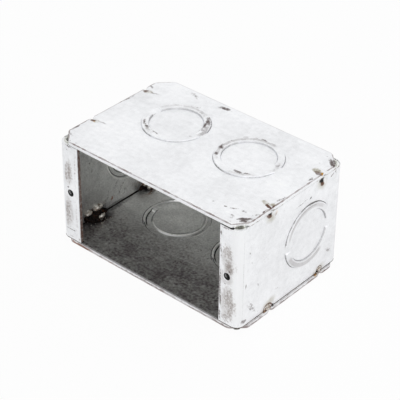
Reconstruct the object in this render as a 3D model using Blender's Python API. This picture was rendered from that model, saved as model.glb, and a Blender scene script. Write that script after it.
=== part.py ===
"""Single-gang masonry box of galvanised sheet steel, lying on its long side.

Three pieces of sheet make the box. One strip is folded into a C: it is the two
front flanges, the two ends and the back. A flat plate with cut corners closes
the top and another closes the bottom. Eight tack welds hold the plates to the
ends, and each leaves a melted notch and furrow in the plate's edge outside and a
bead in the corner inside.

X runs along the box, -Y is the open front, +Z is up. The origin is under the
middle of the whole box, on the surface that it lies on.
"""
import math

import bmesh
import bpy
from mathutils import Vector
from mathutils.geometry import delaunay_2d_cdt

MM = 0.001

# The whole box, over its sheets
BOX_LENGTH = 95.25
BOX_DEPTH = 63.5
BOX_HEIGHT = 49.5
SHEET = 1.6

# The folded strip
FRONT_BEND_RADIUS = 3.5
BACK_BEND_RADIUS = 4.2
BEND_STEPS = 8
LEFT_FLANGE_WIDTH = 10.6
RIGHT_FLANGE_WIDTH = 9.7
SEAM = 0.3
RIGHT_FLANGE_DROP = 0.3
DROP_RUN = 0.6

# The hole in each flange for a wiring device: this sets the two 83.34 mm apart
DEVICE_HOLE_FROM_END = 5.955
DEVICE_HOLE_DIAMETER = 3.1
HOLE_STEPS = 24

# The top plate ends flush with the strip, the bottom one stands out at both ends
BOTTOM_OVERHANG = 0.6

# The cut corners of both plates; one of the top plate's is a little shorter
TOP_CORNER_CUT = 6.0
TOP_FRONT_RIGHT_CUT_LENGTH = 4.4
TOP_FRONT_RIGHT_CUT_DEPTH = 5.8
BOTTOM_CORNER_CUT = 5.5
CORNER_ROUNDING = 1.0
CORNER_STEPS = 3

# The concentric knockouts: a disc inside a ring that is pushed outwards
DISC_RADIUS = 11.2
RING_RADIUS = 14.25
RING_RISE = 0.6
CRACK_WIDTH = 0.36
CRACK_DEPTH = 0.4
TIE_WIDTH = 4.0
TIE_BLEND_DEG = 2.5
KNOCKOUT_STEPS = 44
PLATE_KNOCKOUT_SPACING = 38.3
TOP_KNOCKOUT_FROM_BACK = 24.4
BOTTOM_KNOCKOUT_FROM_BACK = 23.7
BOTTOM_KNOCKOUT_SHIFT = 0.3
END_KNOCKOUT_FROM_BACK = 21.7
LEFT_KNOCKOUT_FORWARD = 2.2
LEFT_KNOCKOUT_RAISE = 1.2
BACK_KNOCKOUT_SPACING = 38.3

# The tack welds, two on each end of each plate
FRONT_WELD_FROM_FRONT = 17.6
BACK_WELD_FROM_BACK = 14.0
NOTCH_BEHIND_BURN = 1.5
NOTCH_DEPTH = 0.4
NOTCH_LENGTH = 3.6
FURROW_LENGTH = 4.2
FURROW_LEAN = 0.5
FURROW_WIDTH = 2.0
FURROW_DEPTH = 0.7
BURN_WIDTH = 2.4
BURN_DEPTH = 1.2
BEAD_LENGTH = 8.0
BEAD_SIZE = 2.4
BEAD_STATIONS = 9
BEAD_STEPS = 5

# Where the pieces stand: the rings under the bottom plate touch the ground
LEFT, RIGHT = -BOX_LENGTH / 2, BOX_LENGTH / 2
FRONT = -(BOX_DEPTH + RING_RISE) / 2
BACK = FRONT + BOX_DEPTH
UNDERSIDE = RING_RISE
TOPSIDE = UNDERSIDE + BOX_HEIGHT
MIDDLE_HEIGHT = (UNDERSIDE + TOPSIDE) / 2
FRONT_WELD = FRONT + FRONT_WELD_FROM_FRONT
BACK_WELD = BACK - BACK_WELD_FROM_BACK

SHARP_EDGE = math.radians(30)


def clear_scene():
    for thing in list(bpy.data.objects):
        bpy.data.objects.remove(thing, do_unlink=True)


def make_material(name, colour, roughness, metallic):
    material = bpy.data.materials.new(name)
    material.use_nodes = True
    shader = material.node_tree.nodes["Principled BSDF"]
    shader.inputs["Base Color"].default_value = (*colour, 1.0)
    shader.inputs["Roughness"].default_value = roughness
    shader.inputs["Metallic"].default_value = metallic
    return material


def make_object(name, mesh_builder, material):
    """Turn a bmesh in millimetres into an object in metres, with outward faces."""
    bmesh.ops.recalc_face_normals(mesh_builder, faces=mesh_builder.faces)
    bmesh.ops.scale(mesh_builder, vec=(MM, MM, MM), verts=mesh_builder.verts)
    mesh = bpy.data.meshes.new(name)
    mesh_builder.to_mesh(mesh)
    mesh_builder.free()
    mesh.materials.append(material)
    mesh.shade_smooth()
    mesh.set_sharp_from_angle(angle=SHARP_EDGE)
    thing = bpy.data.objects.new(name, mesh)
    bpy.context.scene.collection.objects.link(thing)
    return thing


def mix(a, b, share):
    return a + (b - a) * share


def circle(centre, radius, steps):
    turns = (2 * math.pi * i / steps for i in range(steps))
    return [(centre[0] + radius * math.cos(a), centre[1] + radius * math.sin(a)) for a in turns]


def inside(point, loop):
    """True where a flat point lies within a closed loop of flat points."""
    u, v = point
    found = False
    for (u0, v0), (u1, v1) in zip(loop, loop[1:] + loop[:1]):
        if (v0 > v) != (v1 > v) and u < u0 + (u1 - u0) * (v - v0) / (v1 - v0):
            found = not found
    return found


# Knockouts

class Knockout:
    """A disc and a ring, each sheared all round but for one tie, in the flat of a sheet.

    The ring stands RING_RISE proud of the sheet's outer face. Where a circle keeps
    its tie, the metal runs across without a step or a crack.
    """

    def __init__(self, u, v, ring_tie, disc_tie):
        self.centre = (u, v)
        self.ring_tie = ring_tie
        self.disc_tie = disc_tie
        self.angles = self.angle_stations()
        self.rim = [self.at(angle, RING_RADIUS + CRACK_WIDTH / 2) for angle in self.angles]

    def tie_half_angle(self, radius):
        return math.degrees(math.asin(TIE_WIDTH / 2 / radius))

    def angle_stations(self):
        """Even steps round the circle, with exact ones at the ends of both ties."""
        marks = []
        for tie, radius in ((self.ring_tie, RING_RADIUS), (self.disc_tie, DISC_RADIUS)):
            half = self.tie_half_angle(radius)
            for offset in (-half - TIE_BLEND_DEG, -half, half, half + TIE_BLEND_DEG):
                marks.append((tie + offset) % 360)
        step = 360 / KNOCKOUT_STEPS
        even = [i * step for i in range(KNOCKOUT_STEPS)]
        spare = [a for a in even if all(abs((a - m + 180) % 360 - 180) > step * 0.4 for m in marks)]
        return sorted(marks + spare)

    def at(self, angle, radius):
        turn = math.radians(angle)
        return (self.centre[0] + radius * math.cos(turn), self.centre[1] + radius * math.sin(turn))

    def tied(self, angle, tie, radius):
        """1 on the tie, 0 away from it, with a short blend at each side."""
        away = abs((angle - tie + 180) % 360 - 180) - self.tie_half_angle(radius)
        return 1 - min(1.0, max(0.0, away / TIE_BLEND_DEG))

    def outer_lines(self, angle):
        """Radius and height over the outer face of each line, from the rim inwards."""
        ring = self.tied(angle, self.ring_tie, RING_RADIUS)
        disc = self.tied(angle, self.disc_tie, DISC_RADIUS)
        ring_edge = RING_RISE * (1 - ring)
        disc_edge = RING_RISE * (1 - disc)
        return [
            (RING_RADIUS, -CRACK_DEPTH * (1 - ring)),
            (RING_RADIUS - CRACK_WIDTH / 2, ring_edge),
            (DISC_RADIUS + CRACK_WIDTH / 2, disc_edge),
            (DISC_RADIUS, -CRACK_DEPTH * (1 - disc)),
            (DISC_RADIUS - CRACK_WIDTH / 2, 0.0),
        ]

    def inner_lines(self, angle):
        """The same for the inner face, where the pushed ring leaves a groove."""
        ring = self.tied(angle, self.ring_tie, RING_RADIUS)
        disc = self.tied(angle, self.disc_tie, DISC_RADIUS)
        return [
            (RING_RADIUS - CRACK_WIDTH / 2, RING_RISE * (1 - ring) - SHEET),
            (DISC_RADIUS + CRACK_WIDTH / 2, RING_RISE * (1 - disc) - SHEET),
            (DISC_RADIUS - CRACK_WIDTH / 2, -SHEET),
        ]

    def fill(self, mesh_builder, place, rim_vertices, lines):
        """Bridge the lines of one face of the sheet, from its rim down to the disc."""
        previous = rim_vertices
        for k in range(len(lines(0.0))):
            current = []
            for angle in self.angles:
                radius, height = lines(angle)[k]
                current.append(mesh_builder.verts.new(place(*self.at(angle, radius), height)))
            count = len(current)
            for i in range(count):
                j = (i + 1) % count
                mesh_builder.faces.new((previous[i], previous[j], current[j], current[i]))
            previous = current
        mesh_builder.faces.new(previous)


# Sheets

def plan_of(outline, loops, lines):
    """Triangles over a flat outline, less the loops in it, with edges along the lines.

    Returns the flat points, the triangles and, for each point put in, its index out.
    """
    points = [Vector((u, v)) for u, v in outline]
    edges = [(i, (i + 1) % len(outline)) for i in range(len(outline))]
    for loop in loops:
        first = len(points)
        points += [Vector((u, v)) for u, v in loop]
        edges += [(first + i, first + (i + 1) % len(loop)) for i in range(len(loop))]
    for start, end in lines:
        edges.append((len(points), len(points) + 1))
        points += [Vector(start), Vector(end)]
    made = delaunay_2d_cdt(points, edges, [], 1, 1e-5)
    flat, triangles, sources = made[0], made[2], made[3]
    outer_loop = [tuple(p) for p in outline]
    kept = []
    for triangle in triangles:
        middle = sum((flat[i] for i in triangle), Vector((0, 0))) / len(triangle)
        if inside(middle, outer_loop) and not any(inside(middle, loop) for loop in loops):
            kept.append(tuple(triangle))
    where = {}
    for index, inputs in enumerate(sources):
        for source in inputs:
            where[source] = index
    return flat, kept, where


def build_sheet(name, outline, holes, knockouts, lines, dents, place, material):
    """Make one piece of sheet from its flat shape.

    outline and holes are loops of flat points, lines are edges that the flat shape
    needs, dents gives a flat point's height over the outer face where it isn't 0,
    and place turns a flat point and a height into a point on the folded piece.
    """
    loops = list(holes) + [knockout.rim for knockout in knockouts]
    flat, triangles, where = plan_of(outline, loops, lines)
    mesh_builder = bmesh.new()

    def height(point):
        for (u, v), dent in dents:
            if abs(point[0] - u) + abs(point[1] - v) < 1e-3:
                return dent
        return 0.0

    outer = [mesh_builder.verts.new(place(p[0], p[1], height(p))) for p in flat]
    inner = [mesh_builder.verts.new(place(p[0], p[1], -SHEET)) for p in flat]
    uses = {}
    for a, b, c in triangles:
        mesh_builder.faces.new((outer[a], outer[b], outer[c]))
        mesh_builder.faces.new((inner[c], inner[b], inner[a]))
        for edge in ((a, b), (b, c), (c, a)):
            key = frozenset(edge)
            uses[key] = None if key in uses else edge

    first = len(outline) + sum(len(hole) for hole in holes)
    rims = []
    for knockout in knockouts:
        rims.append([where[first + i] for i in range(len(knockout.rim))])
        first += len(knockout.rim)
    rim_points = {index for rim in rims for index in rim}
    for edge in uses.values():
        if edge is None or (edge[0] in rim_points and edge[1] in rim_points):
            continue
        a, b = edge
        mesh_builder.faces.new((outer[b], outer[a], inner[a], inner[b]))

    for knockout, rim in zip(knockouts, rims):
        knockout.fill(mesh_builder, place, [outer[i] for i in rim], knockout.outer_lines)
        knockout.fill(mesh_builder, place, [inner[i] for i in rim], knockout.inner_lines)
    loose = [vertex for vertex in mesh_builder.verts if not vertex.link_faces]
    bmesh.ops.delete(mesh_builder, geom=loose, context="VERTS")
    return make_object(name, mesh_builder, material)


# The folded strip

def strip_path():
    """The strip's straight runs and bends, seen from above and taken clockwise.

    Each entry is a name, a flat length and a bend radius, which is 0 for a straight
    run. A run then has its start and heading. A bend turns right, and has its centre
    and first heading.
    """
    front, back = FRONT_BEND_RADIUS, BACK_BEND_RADIUS
    front_arc = math.pi / 2 * (front - SHEET / 2)
    back_arc = math.pi / 2 * (back - SHEET / 2)
    end_run = BOX_DEPTH - front - back
    back_run = BOX_LENGTH - 2 * back
    west, north, east, south = (-1, 0), (0, 1), (1, 0), (0, -1)
    return [
        ("left_flange", LEFT_FLANGE_WIDTH - front, 0, (LEFT + LEFT_FLANGE_WIDTH, FRONT), west),
        ("left_front", front_arc, front, (LEFT + front, FRONT + front), west),
        ("left_end", end_run, 0, (LEFT, FRONT + front), north),
        ("left_back", back_arc, back, (LEFT + back, BACK - back), north),
        ("back", back_run, 0, (LEFT + back, BACK), east),
        ("right_back", back_arc, back, (RIGHT - back, BACK - back), east),
        ("right_end", end_run, 0, (RIGHT, BACK - back), south),
        ("right_front", front_arc, front, (RIGHT - front, FRONT + front), south),
        ("right_flange", RIGHT_FLANGE_WIDTH - front, 0, (RIGHT - front, FRONT), west),
    ]


def strip_starts():
    """The flat length at which each part of the strip starts, and its whole length."""
    starts, length = {}, 0.0
    for name, run, _, _, _ in strip_path():
        starts[name] = length
        length += run
    return starts, length


def fold_strip(s, z, out):
    """A point of the flat strip, out from its outer face, where it lies once folded."""
    starts, _ = strip_starts()
    for name, run, radius, anchor, heading in strip_path():
        along = s - starts[name]
        if along <= run + 1e-9:
            break
    dx, dy = heading
    left_x, left_y = -dy, dx
    if radius == 0:
        return Vector((anchor[0] + dx * along + left_x * out, anchor[1] + dy * along + left_y * out, z))
    turn = math.pi / 2 * along / run
    reach = radius + out
    x = left_x * math.cos(turn) + dx * math.sin(turn)
    y = left_y * math.cos(turn) + dy * math.sin(turn)
    return Vector((anchor[0] + x * reach, anchor[1] + y * reach, z))


def weld_positions(starts):
    """The flat lengths at which the strip's two ends meet a tack weld."""
    left_face = starts["left_end"] - FRONT_BEND_RADIUS - FRONT
    right_face = starts["right_front"] + FRONT_BEND_RADIUS + FRONT
    left = [left_face + y for y in (FRONT_WELD, BACK_WELD)]
    right = [right_face - y for y in (FRONT_WELD, BACK_WELD)]
    return sorted(left + right)


def strip_edge(starts, length, level, inwards, flange_level):
    """One long edge of the flat strip: straight, burnt away a little at each weld."""
    edge = [(0.0, level)]
    for s in weld_positions(starts):
        edge += [(s - BURN_WIDTH / 2, level), (s, level + inwards * BURN_DEPTH), (s + BURN_WIDTH / 2, level)]
    flange = starts["right_flange"]
    edge += [(flange, level), (flange + DROP_RUN, flange_level), (length, flange_level)]
    return edge


def bend_lines(starts, bottom, top):
    """Straight lines across the strip at each step of each bend."""
    lines = []
    for name, run, radius, _, _ in strip_path():
        if radius > 0:
            for i in range(BEND_STEPS + 1):
                s = starts[name] + run * i / BEND_STEPS
                lines.append(((s, bottom), (s, top)))
    return lines


def make_strip(material):
    starts, length = strip_starts()
    bottom = UNDERSIDE + SHEET + SEAM
    top = TOPSIDE - SHEET - SEAM
    low_edge = strip_edge(starts, length, bottom, 1, bottom)
    high_edge = strip_edge(starts, length, top, -1, top - RIGHT_FLANGE_DROP)
    lines = bend_lines(starts, bottom, top)
    ends_of_lines = sorted({start[0] for start, _ in lines})

    def with_bends(edge):
        """The edge with a point at every bend line, in order of flat length."""
        known = {round(s, 6) for s, _ in edge}
        extra = [(s, edge[0][1]) for s in ends_of_lines if round(s, 6) not in known]
        return sorted(edge + extra)

    outline = with_bends(low_edge) + with_bends(high_edge)[::-1]
    left_hole = LEFT_FLANGE_WIDTH - DEVICE_HOLE_FROM_END
    right_hole = length - (RIGHT_FLANGE_WIDTH - DEVICE_HOLE_FROM_END)
    radius = DEVICE_HOLE_DIAMETER / 2
    holes = [circle((s, MIDDLE_HEIGHT), radius, HOLE_STEPS) for s in (left_hole, right_hole)]

    from_bend = END_KNOCKOUT_FROM_BACK - BACK_BEND_RADIUS
    back_middle = (starts["back"] + starts["right_back"]) / 2
    half_spacing = BACK_KNOCKOUT_SPACING / 2
    middles = (
        (starts["left_back"] - from_bend - LEFT_KNOCKOUT_FORWARD, MIDDLE_HEIGHT + LEFT_KNOCKOUT_RAISE),
        (back_middle - half_spacing, MIDDLE_HEIGHT),
        (back_middle + half_spacing, MIDDLE_HEIGHT),
        (starts["right_end"] + from_bend, MIDDLE_HEIGHT),
    )
    knockouts = [Knockout(s, z, 0, 180) for s, z in middles]
    return build_sheet("wrap_strip", outline, holes, knockouts, lines, [], fold_strip, material)


# The top and bottom plates

def cut_corner(corner, cut, towards_a, towards_b):
    """The two rounded points of one cut corner, from side a round to side b.

    cut is how far the cut runs back along side a and along side b.
    """
    points = []
    a = (corner[0] + towards_a[0] * cut[0], corner[1] + towards_a[1] * cut[0])
    b = (corner[0] + towards_b[0] * cut[1], corner[1] + towards_b[1] * cut[1])
    slant = math.dist(a, b)
    ab = ((b[0] - a[0]) / slant, (b[1] - a[1]) / slant)
    for point, before, after in ((a, towards_a, ab), (b, (-ab[0], -ab[1]), towards_b)):
        for i in range(CORNER_STEPS + 1):
            t = i / CORNER_STEPS
            start = (point[0] + before[0] * CORNER_ROUNDING, point[1] + before[1] * CORNER_ROUNDING)
            end = (point[0] + after[0] * CORNER_ROUNDING, point[1] + after[1] * CORNER_ROUNDING)
            u = mix(mix(start[0], point[0], t), mix(point[0], end[0], t), t)
            v = mix(mix(start[1], point[1], t), mix(point[1], end[1], t), t)
            points.append((u, v))
    return points


def weld_notch(edge, outwards, y, heading):
    """The plate's edge where a weld has melted it back, in the direction of travel."""
    half = NOTCH_LENGTH / 2
    points = []
    for offset in (-half, -FURROW_WIDTH / 2, 0.0, FURROW_WIDTH / 2, half):
        melted = NOTCH_DEPTH * (1 - (offset / half) ** 2)
        points.append((edge - outwards * melted, y + heading * offset))
    return points


def plate_outline(overhang, cut, front_right_cut):
    """The plate seen from above, anticlockwise, and its weld furrows."""
    left, right = LEFT - overhang, RIGHT + overhang
    welds = [weld + NOTCH_BEHIND_BURN for weld in (FRONT_WELD, BACK_WELD)]
    even_cut = (cut, cut)
    outline = cut_corner((left, FRONT), even_cut, (0, 1), (1, 0))
    outline += cut_corner((right, FRONT), front_right_cut, (-1, 0), (0, 1))
    for y in welds:
        outline += weld_notch(right, 1, y, 1)
    outline += cut_corner((right, BACK), even_cut, (0, -1), (-1, 0))
    outline += cut_corner((left, BACK), even_cut, (1, 0), (0, -1))
    for y in reversed(welds):
        outline += weld_notch(left, -1, y, -1)

    lines, dents = [], []
    for edge, outwards in ((left, -1), (right, 1)):
        for y in welds:
            tip = (edge - outwards * FURROW_LENGTH, y + FURROW_LEAN)
            before, middle, after = weld_notch(edge, outwards, y, 1)[1:4]
            lines += [(before, tip), (middle, tip), (after, tip)]
            dents.append((middle, -FURROW_DEPTH))
    return outline, lines, dents


def make_plate(name, face, outwards, overhang, cut, front_right_cut, knockouts, material):
    """A flat plate whose outer face is at the height face, looking up or down."""
    outline, lines, dents = plate_outline(overhang, cut, front_right_cut)

    def place(x, y, out):
        return Vector((x, y, face + outwards * out))

    return build_sheet(name, outline, [], knockouts, lines, dents, place, material)


def top_knockouts():
    """The right one keeps both ties in one place, as a flat tongue through the ring."""
    row = BACK - TOP_KNOCKOUT_FROM_BACK
    half_spacing = PLATE_KNOCKOUT_SPACING / 2
    return [Knockout(-half_spacing, row, 2, 178), Knockout(half_spacing, row, 2, 3)]


def bottom_knockouts():
    """Here it is the left one that keeps both ties in one place."""
    row = BACK - BOTTOM_KNOCKOUT_FROM_BACK
    half_spacing = PLATE_KNOCKOUT_SPACING / 2
    left, right = BOTTOM_KNOCKOUT_SHIFT - half_spacing, BOTTOM_KNOCKOUT_SHIFT + half_spacing
    return [Knockout(left, row, 180, 180), Knockout(right, row, 180, 0)]


# The beads that the tack welds leave in the corners inside

def make_bead(name, side, y, upwards, material):
    """A lumpy fillet of weld metal between a plate and an end, pointed at both tips."""
    corner_x = side * (BOX_LENGTH / 2 - SHEET - SEAM)
    plate_face = UNDERSIDE + SHEET if upwards > 0 else TOPSIDE - SHEET
    corner_z = plate_face + upwards * SEAM
    mesh_builder = bmesh.new()
    sections = []
    for i in range(BEAD_STATIONS):
        along = -1 + 2 * i / (BEAD_STATIONS - 1)
        lump = 1 + 0.12 * math.sin(2 * math.pi * i / 3)
        size = BEAD_SIZE * max(0.25, math.sqrt(1 - along * along)) * lump
        station = y + along * BEAD_LENGTH / 2
        section = [(0.0, 0.0)]
        for j in range(BEAD_STEPS + 1):
            turn = math.pi / 2 * j / BEAD_STEPS
            reach = size * (1 - 0.22 * math.sin(2 * turn))
            section.append((reach * math.cos(turn), reach * math.sin(turn)))
        sections.append([
            mesh_builder.verts.new((corner_x - side * p, station, corner_z + upwards * q))
            for p, q in section
        ])
    for one, two in zip(sections, sections[1:]):
        count = len(one)
        for j in range(count):
            k = (j + 1) % count
            mesh_builder.faces.new((one[j], one[k], two[k], two[j]))
    mesh_builder.faces.new(sections[0])
    mesh_builder.faces.new(sections[-1])
    return make_object(name, mesh_builder, material)


def make_beads(material):
    for level, upwards in (("bottom", 1), ("top", -1)):
        for end, side in (("left", -1), ("right", 1)):
            for place, weld in (("front", FRONT_WELD), ("back", BACK_WELD)):
                make_bead(f"weld_bead_{level}_{end}_{place}", side, weld, upwards, material)


clear_scene()
zinc = make_material("galvanised_sheet", (0.80, 0.81, 0.81), 0.42, 0.85)
weld_metal = make_material("weld_metal", (0.33, 0.29, 0.25), 0.6, 0.7)
make_strip(zinc)
short_cut = (TOP_FRONT_RIGHT_CUT_LENGTH, TOP_FRONT_RIGHT_CUT_DEPTH)
even_cut = (BOTTOM_CORNER_CUT, BOTTOM_CORNER_CUT)
low_knockouts = bottom_knockouts()
make_plate("top_plate", TOPSIDE, 1, 0.0, TOP_CORNER_CUT, short_cut, top_knockouts(), zinc)
make_plate("bottom_plate", UNDERSIDE, -1, BOTTOM_OVERHANG, BOTTOM_CORNER_CUT, even_cut, low_knockouts, zinc)
make_beads(weld_metal)
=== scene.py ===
# %% [markdown]
# # A galvanised masonry box, dressed step by step
#
# The box is a real product: sheet steel, folded, tack-welded and coated with zinc. Its
# solids come from a finished CAD model. This lesson adds what a solid can't show: the
# pale mottled zinc, the brown burns of the welds, soot, scuffs, and the light of a
# plain studio. Run the cells in order.

# %% Load the model
import math

import bmesh
import bpy
from mathutils import Matrix, Vector


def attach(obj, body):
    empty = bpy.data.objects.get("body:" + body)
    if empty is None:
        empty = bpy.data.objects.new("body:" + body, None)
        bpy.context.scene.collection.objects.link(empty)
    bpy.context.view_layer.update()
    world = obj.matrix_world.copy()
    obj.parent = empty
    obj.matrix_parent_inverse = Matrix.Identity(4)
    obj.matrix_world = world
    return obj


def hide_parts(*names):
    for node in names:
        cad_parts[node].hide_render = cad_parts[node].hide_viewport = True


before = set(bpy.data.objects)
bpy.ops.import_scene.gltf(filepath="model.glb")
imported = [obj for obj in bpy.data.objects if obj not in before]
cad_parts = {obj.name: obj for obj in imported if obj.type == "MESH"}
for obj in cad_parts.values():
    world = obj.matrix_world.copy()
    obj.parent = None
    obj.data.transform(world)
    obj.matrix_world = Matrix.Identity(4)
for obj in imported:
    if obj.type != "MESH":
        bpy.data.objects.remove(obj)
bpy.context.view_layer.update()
print("pieces in the model:", sorted(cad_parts))

# %% [markdown]
# ## The sizes of the box
#
# X runs along the box, -Y is its open front and +Z is up. A few sizes are written once
# here, in metres, because every later step needs to know where a face or an edge lies.

# %% Sizes in metres
MM = 0.001
LENGTH, DEPTH = 95.25 * MM, 63.5 * MM
FRONT, BACK = -32.05 * MM, 31.45 * MM
UNDERSIDE, TOPSIDE = 0.6 * MM, 50.1 * MM
SHEET = 1.6 * MM
FLOOR_FACE, CEILING_FACE = UNDERSIDE + SHEET, TOPSIDE - SHEET
BEND, BACK_BEND = 3.5 * MM, 4.2 * MM
LEFT_FLANGE, RIGHT_FLANGE = 10.6 * MM, 9.7 * MM
RIGHT = LENGTH / 2
MIDDLE_Y = (FRONT + BACK) / 2
print(f"{LENGTH / MM} x {DEPTH / MM} x {(TOPSIDE - UNDERSIDE) / MM} mm over the sheets")

# %% [markdown]
# ## The camera
#
# The camera stands where the photographer stood: to the right of the open front and well
# above. A long lens keeps the parallel edges nearly parallel.

# %% Camera
CAMERA_AZIMUTH = math.radians(40.90)
CAMERA_ELEVATION = math.radians(34.53)
CAMERA_ROLL = math.radians(0.653)
CAMERA_DISTANCE = 604.8 * MM
CAMERA_AIM = Vector((3.425, -3.854, 28.315)) * MM
CAMERA_LENS, SENSOR_WIDTH = 135.82, 36
CLIP_START = 10 * MM


def camera_axes():
    """The camera's right, up and backward directions."""
    flat = math.cos(CAMERA_ELEVATION)
    backward = Vector((
        math.sin(CAMERA_AZIMUTH) * flat,
        -math.cos(CAMERA_AZIMUTH) * flat,
        math.sin(CAMERA_ELEVATION),
    ))
    level = Vector((math.cos(CAMERA_AZIMUTH), math.sin(CAMERA_AZIMUTH), 0))
    upright = backward.cross(level)
    right = level * math.cos(CAMERA_ROLL) + upright * math.sin(CAMERA_ROLL)
    return right, backward.cross(right), backward


right, up, backward = camera_axes()
turned = Matrix((right, up, backward)).transposed().to_4x4()
camera = bpy.data.objects.new("camera", bpy.data.cameras.new("camera"))
camera.data.lens = CAMERA_LENS
camera.data.sensor_width = SENSOR_WIDTH
camera.data.clip_start = CLIP_START
camera.matrix_world = Matrix.Translation(CAMERA_AIM + backward * CAMERA_DISTANCE) @ turned
bpy.context.scene.collection.objects.link(camera)
bpy.context.scene.camera = camera
print("camera at", [round(v, 4) for v in camera.matrix_world.translation])

# %% [markdown]
# ## Helpers for node trees
#
# Every material below is a small tree of nodes. These helpers make a node, set its
# options and fill its inputs, either with a value or with a link to another node.
# Colours are written as 0 to 255, as a colour picker shows them, and turned into the
# linear numbers that a renderer adds up.

# %% Node helpers
def fill(tree, node, inputs):
    """Set a node's inputs. A socket's name or number maps to a value or to an output."""
    for key, value in inputs.items():
        if isinstance(value, bpy.types.NodeSocket):
            tree.links.new(value, node.inputs[key])
        else:
            node.inputs[key].default_value = value


def add_node(tree, kind, inputs=None, **settings):
    """Make a node with its options and its inputs."""
    made = tree.nodes.new(kind)
    for name, value in settings.items():
        setattr(made, name, value)
    fill(tree, made, inputs or {})
    return made


def sums(tree, operation, *values, clamp=False):
    """The result of one sum. Each value is a number or an output."""
    made = add_node(tree, "ShaderNodeMath", dict(enumerate(values)), operation=operation)
    made.use_clamp = clamp
    return made.outputs[0]


def ramp(tree, value, start, end, low=0.0, high=1.0):
    """Take a value that runs from start to end smoothly to one from low to high."""
    inputs = {0: value, 1: start, 2: end, 3: low, 4: high}
    return add_node(tree, "ShaderNodeMapRange", inputs, interpolation_type="SMOOTHSTEP").outputs[0]


def blend(tree, share, a, b):
    """A mix of two colours."""
    return add_node(tree, "ShaderNodeMix", {0: share, 6: a, 7: b}, data_type="RGBA").outputs[2]


def noise(tree, position, scale, detail=2.0, output=0):
    """Soft noise. Output 0 is one number from 0 to 1, and output 1 is three of them."""
    inputs = {"Vector": position, "Scale": scale, "Detail": detail}
    return add_node(tree, "ShaderNodeTexNoise", inputs).outputs[output]


def swing(tree, position, scale, detail=2.0):
    """Soft noise from -0.5 to 0.5."""
    return sums(tree, "SUBTRACT", noise(tree, position, scale, detail), 0.5)


def vector_node(tree, operation, a, b=None, scale=None, output=0):
    """The result of one sum with vectors. Inputs that it doesn't use are left out."""
    inputs = {0: a, 1: b, "Scale": scale}
    inputs = {key: value for key, value in inputs.items() if value is not None}
    return add_node(tree, "ShaderNodeVectorMath", inputs, operation=operation).outputs[output]


def coordinates(tree, position):
    """The three coordinates of a position."""
    return add_node(tree, "ShaderNodeSeparateXYZ", {0: position}).outputs


def paint(red, green, blue):
    """A colour picker's 0 to 255 as linear red, green, blue and alpha."""
    def linear(value):
        value /= 255
        return value / 12.92 if value <= 0.04045 else ((value + 0.055) / 1.055) ** 2.4
    return (linear(red), linear(green), linear(blue), 1.0)


def new_material(name):
    """An empty material, its tree, its Principled BSDF and its Object coordinates."""
    material = bpy.data.materials.new(name)
    material.use_nodes = True
    tree = material.node_tree
    position = add_node(tree, "ShaderNodeTexCoord").outputs["Object"]
    return material, tree, tree.nodes["Principled BSDF"], position


print("mid grey is", round(paint(128, 128, 128)[0], 3), "as a linear number")

# %% [markdown]
# ## The floor and the light
#
# A plain white floor and a white world wrap the metal in pale reflections, as a
# product photographer's white tent does. Rays from the camera and reflections see the
# floor and the world at full white, while their light on the box stays at a plain level.
# The floor still takes a little of its tone from the lamps, and so keeps the shadow.

# %% Floor
FLOOR_GLOW = 0.95
FLOOR_GREY = 0.92
FLOOR_HALF = 6.0
WHITE = (1, 1, 1, 1)


def seen_directly(tree):
    """1 for rays from the camera and for reflections, and 0 for all other light."""
    path = add_node(tree, "ShaderNodeLightPath").outputs
    return sums(tree, "MAXIMUM", path["Is Camera Ray"], path["Is Glossy Ray"])


def make_floor():
    mesh = bpy.data.meshes.new("floor")
    corners = [(x * FLOOR_HALF, y * FLOOR_HALF, 0) for x, y in ((-1, -1), (1, -1), (1, 1), (-1, 1))]
    mesh.from_pydata(corners, [], [(0, 1, 2, 3)])
    floor = bpy.data.objects.new("floor", mesh)
    bpy.context.scene.collection.objects.link(floor)
    material = bpy.data.materials.new("white_floor")
    material.use_nodes = True
    tree = material.node_tree
    tree.nodes.clear()
    grey = (FLOOR_GREY, FLOOR_GREY, FLOOR_GREY, 1)
    lit = add_node(tree, "ShaderNodeBsdfDiffuse", {"Color": grey}).outputs[0]
    glow = add_node(tree, "ShaderNodeEmission", {"Color": WHITE, "Strength": 1.0}).outputs[0]
    share = sums(tree, "MULTIPLY", seen_directly(tree), FLOOR_GLOW)
    mixed = add_node(tree, "ShaderNodeMixShader", {0: share, 1: lit, 2: glow}).outputs[0]
    add_node(tree, "ShaderNodeOutputMaterial", {"Surface": mixed})
    mesh.materials.append(material)
    return floor


floor = make_floor()
print("floor:", floor.dimensions[:])

# %% World and lamps
WORLD_STRENGTH = 0.6
BOX_MIDDLE = Vector((0, 0, 25)) * MM
# Each lamp has a place and a size in metres, and a power in watts.
LAMPS = {
    "overhead_softbox": ((0.05, 0.1, 0.9), 0.8, 0.5),
    "right_softbox": ((0.9, 0.25, 0.45), 0.7, 1.5),
    "front_softbox": ((0.62, -0.8, 0.3), 0.5, 1.25),
}


def make_world():
    world = bpy.data.worlds.new("white_tent")
    world.use_nodes = True
    tree = world.node_tree
    tree.nodes.clear()
    plain, white = (
        add_node(tree, "ShaderNodeBackground", {"Color": WHITE, "Strength": strength}).outputs[0]
        for strength in (WORLD_STRENGTH, 1.0)
    )
    mixed = add_node(tree, "ShaderNodeMixShader", {0: seen_directly(tree), 1: plain, 2: white})
    add_node(tree, "ShaderNodeOutputWorld", {"Surface": mixed.outputs[0]})
    bpy.context.scene.world = world


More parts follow.
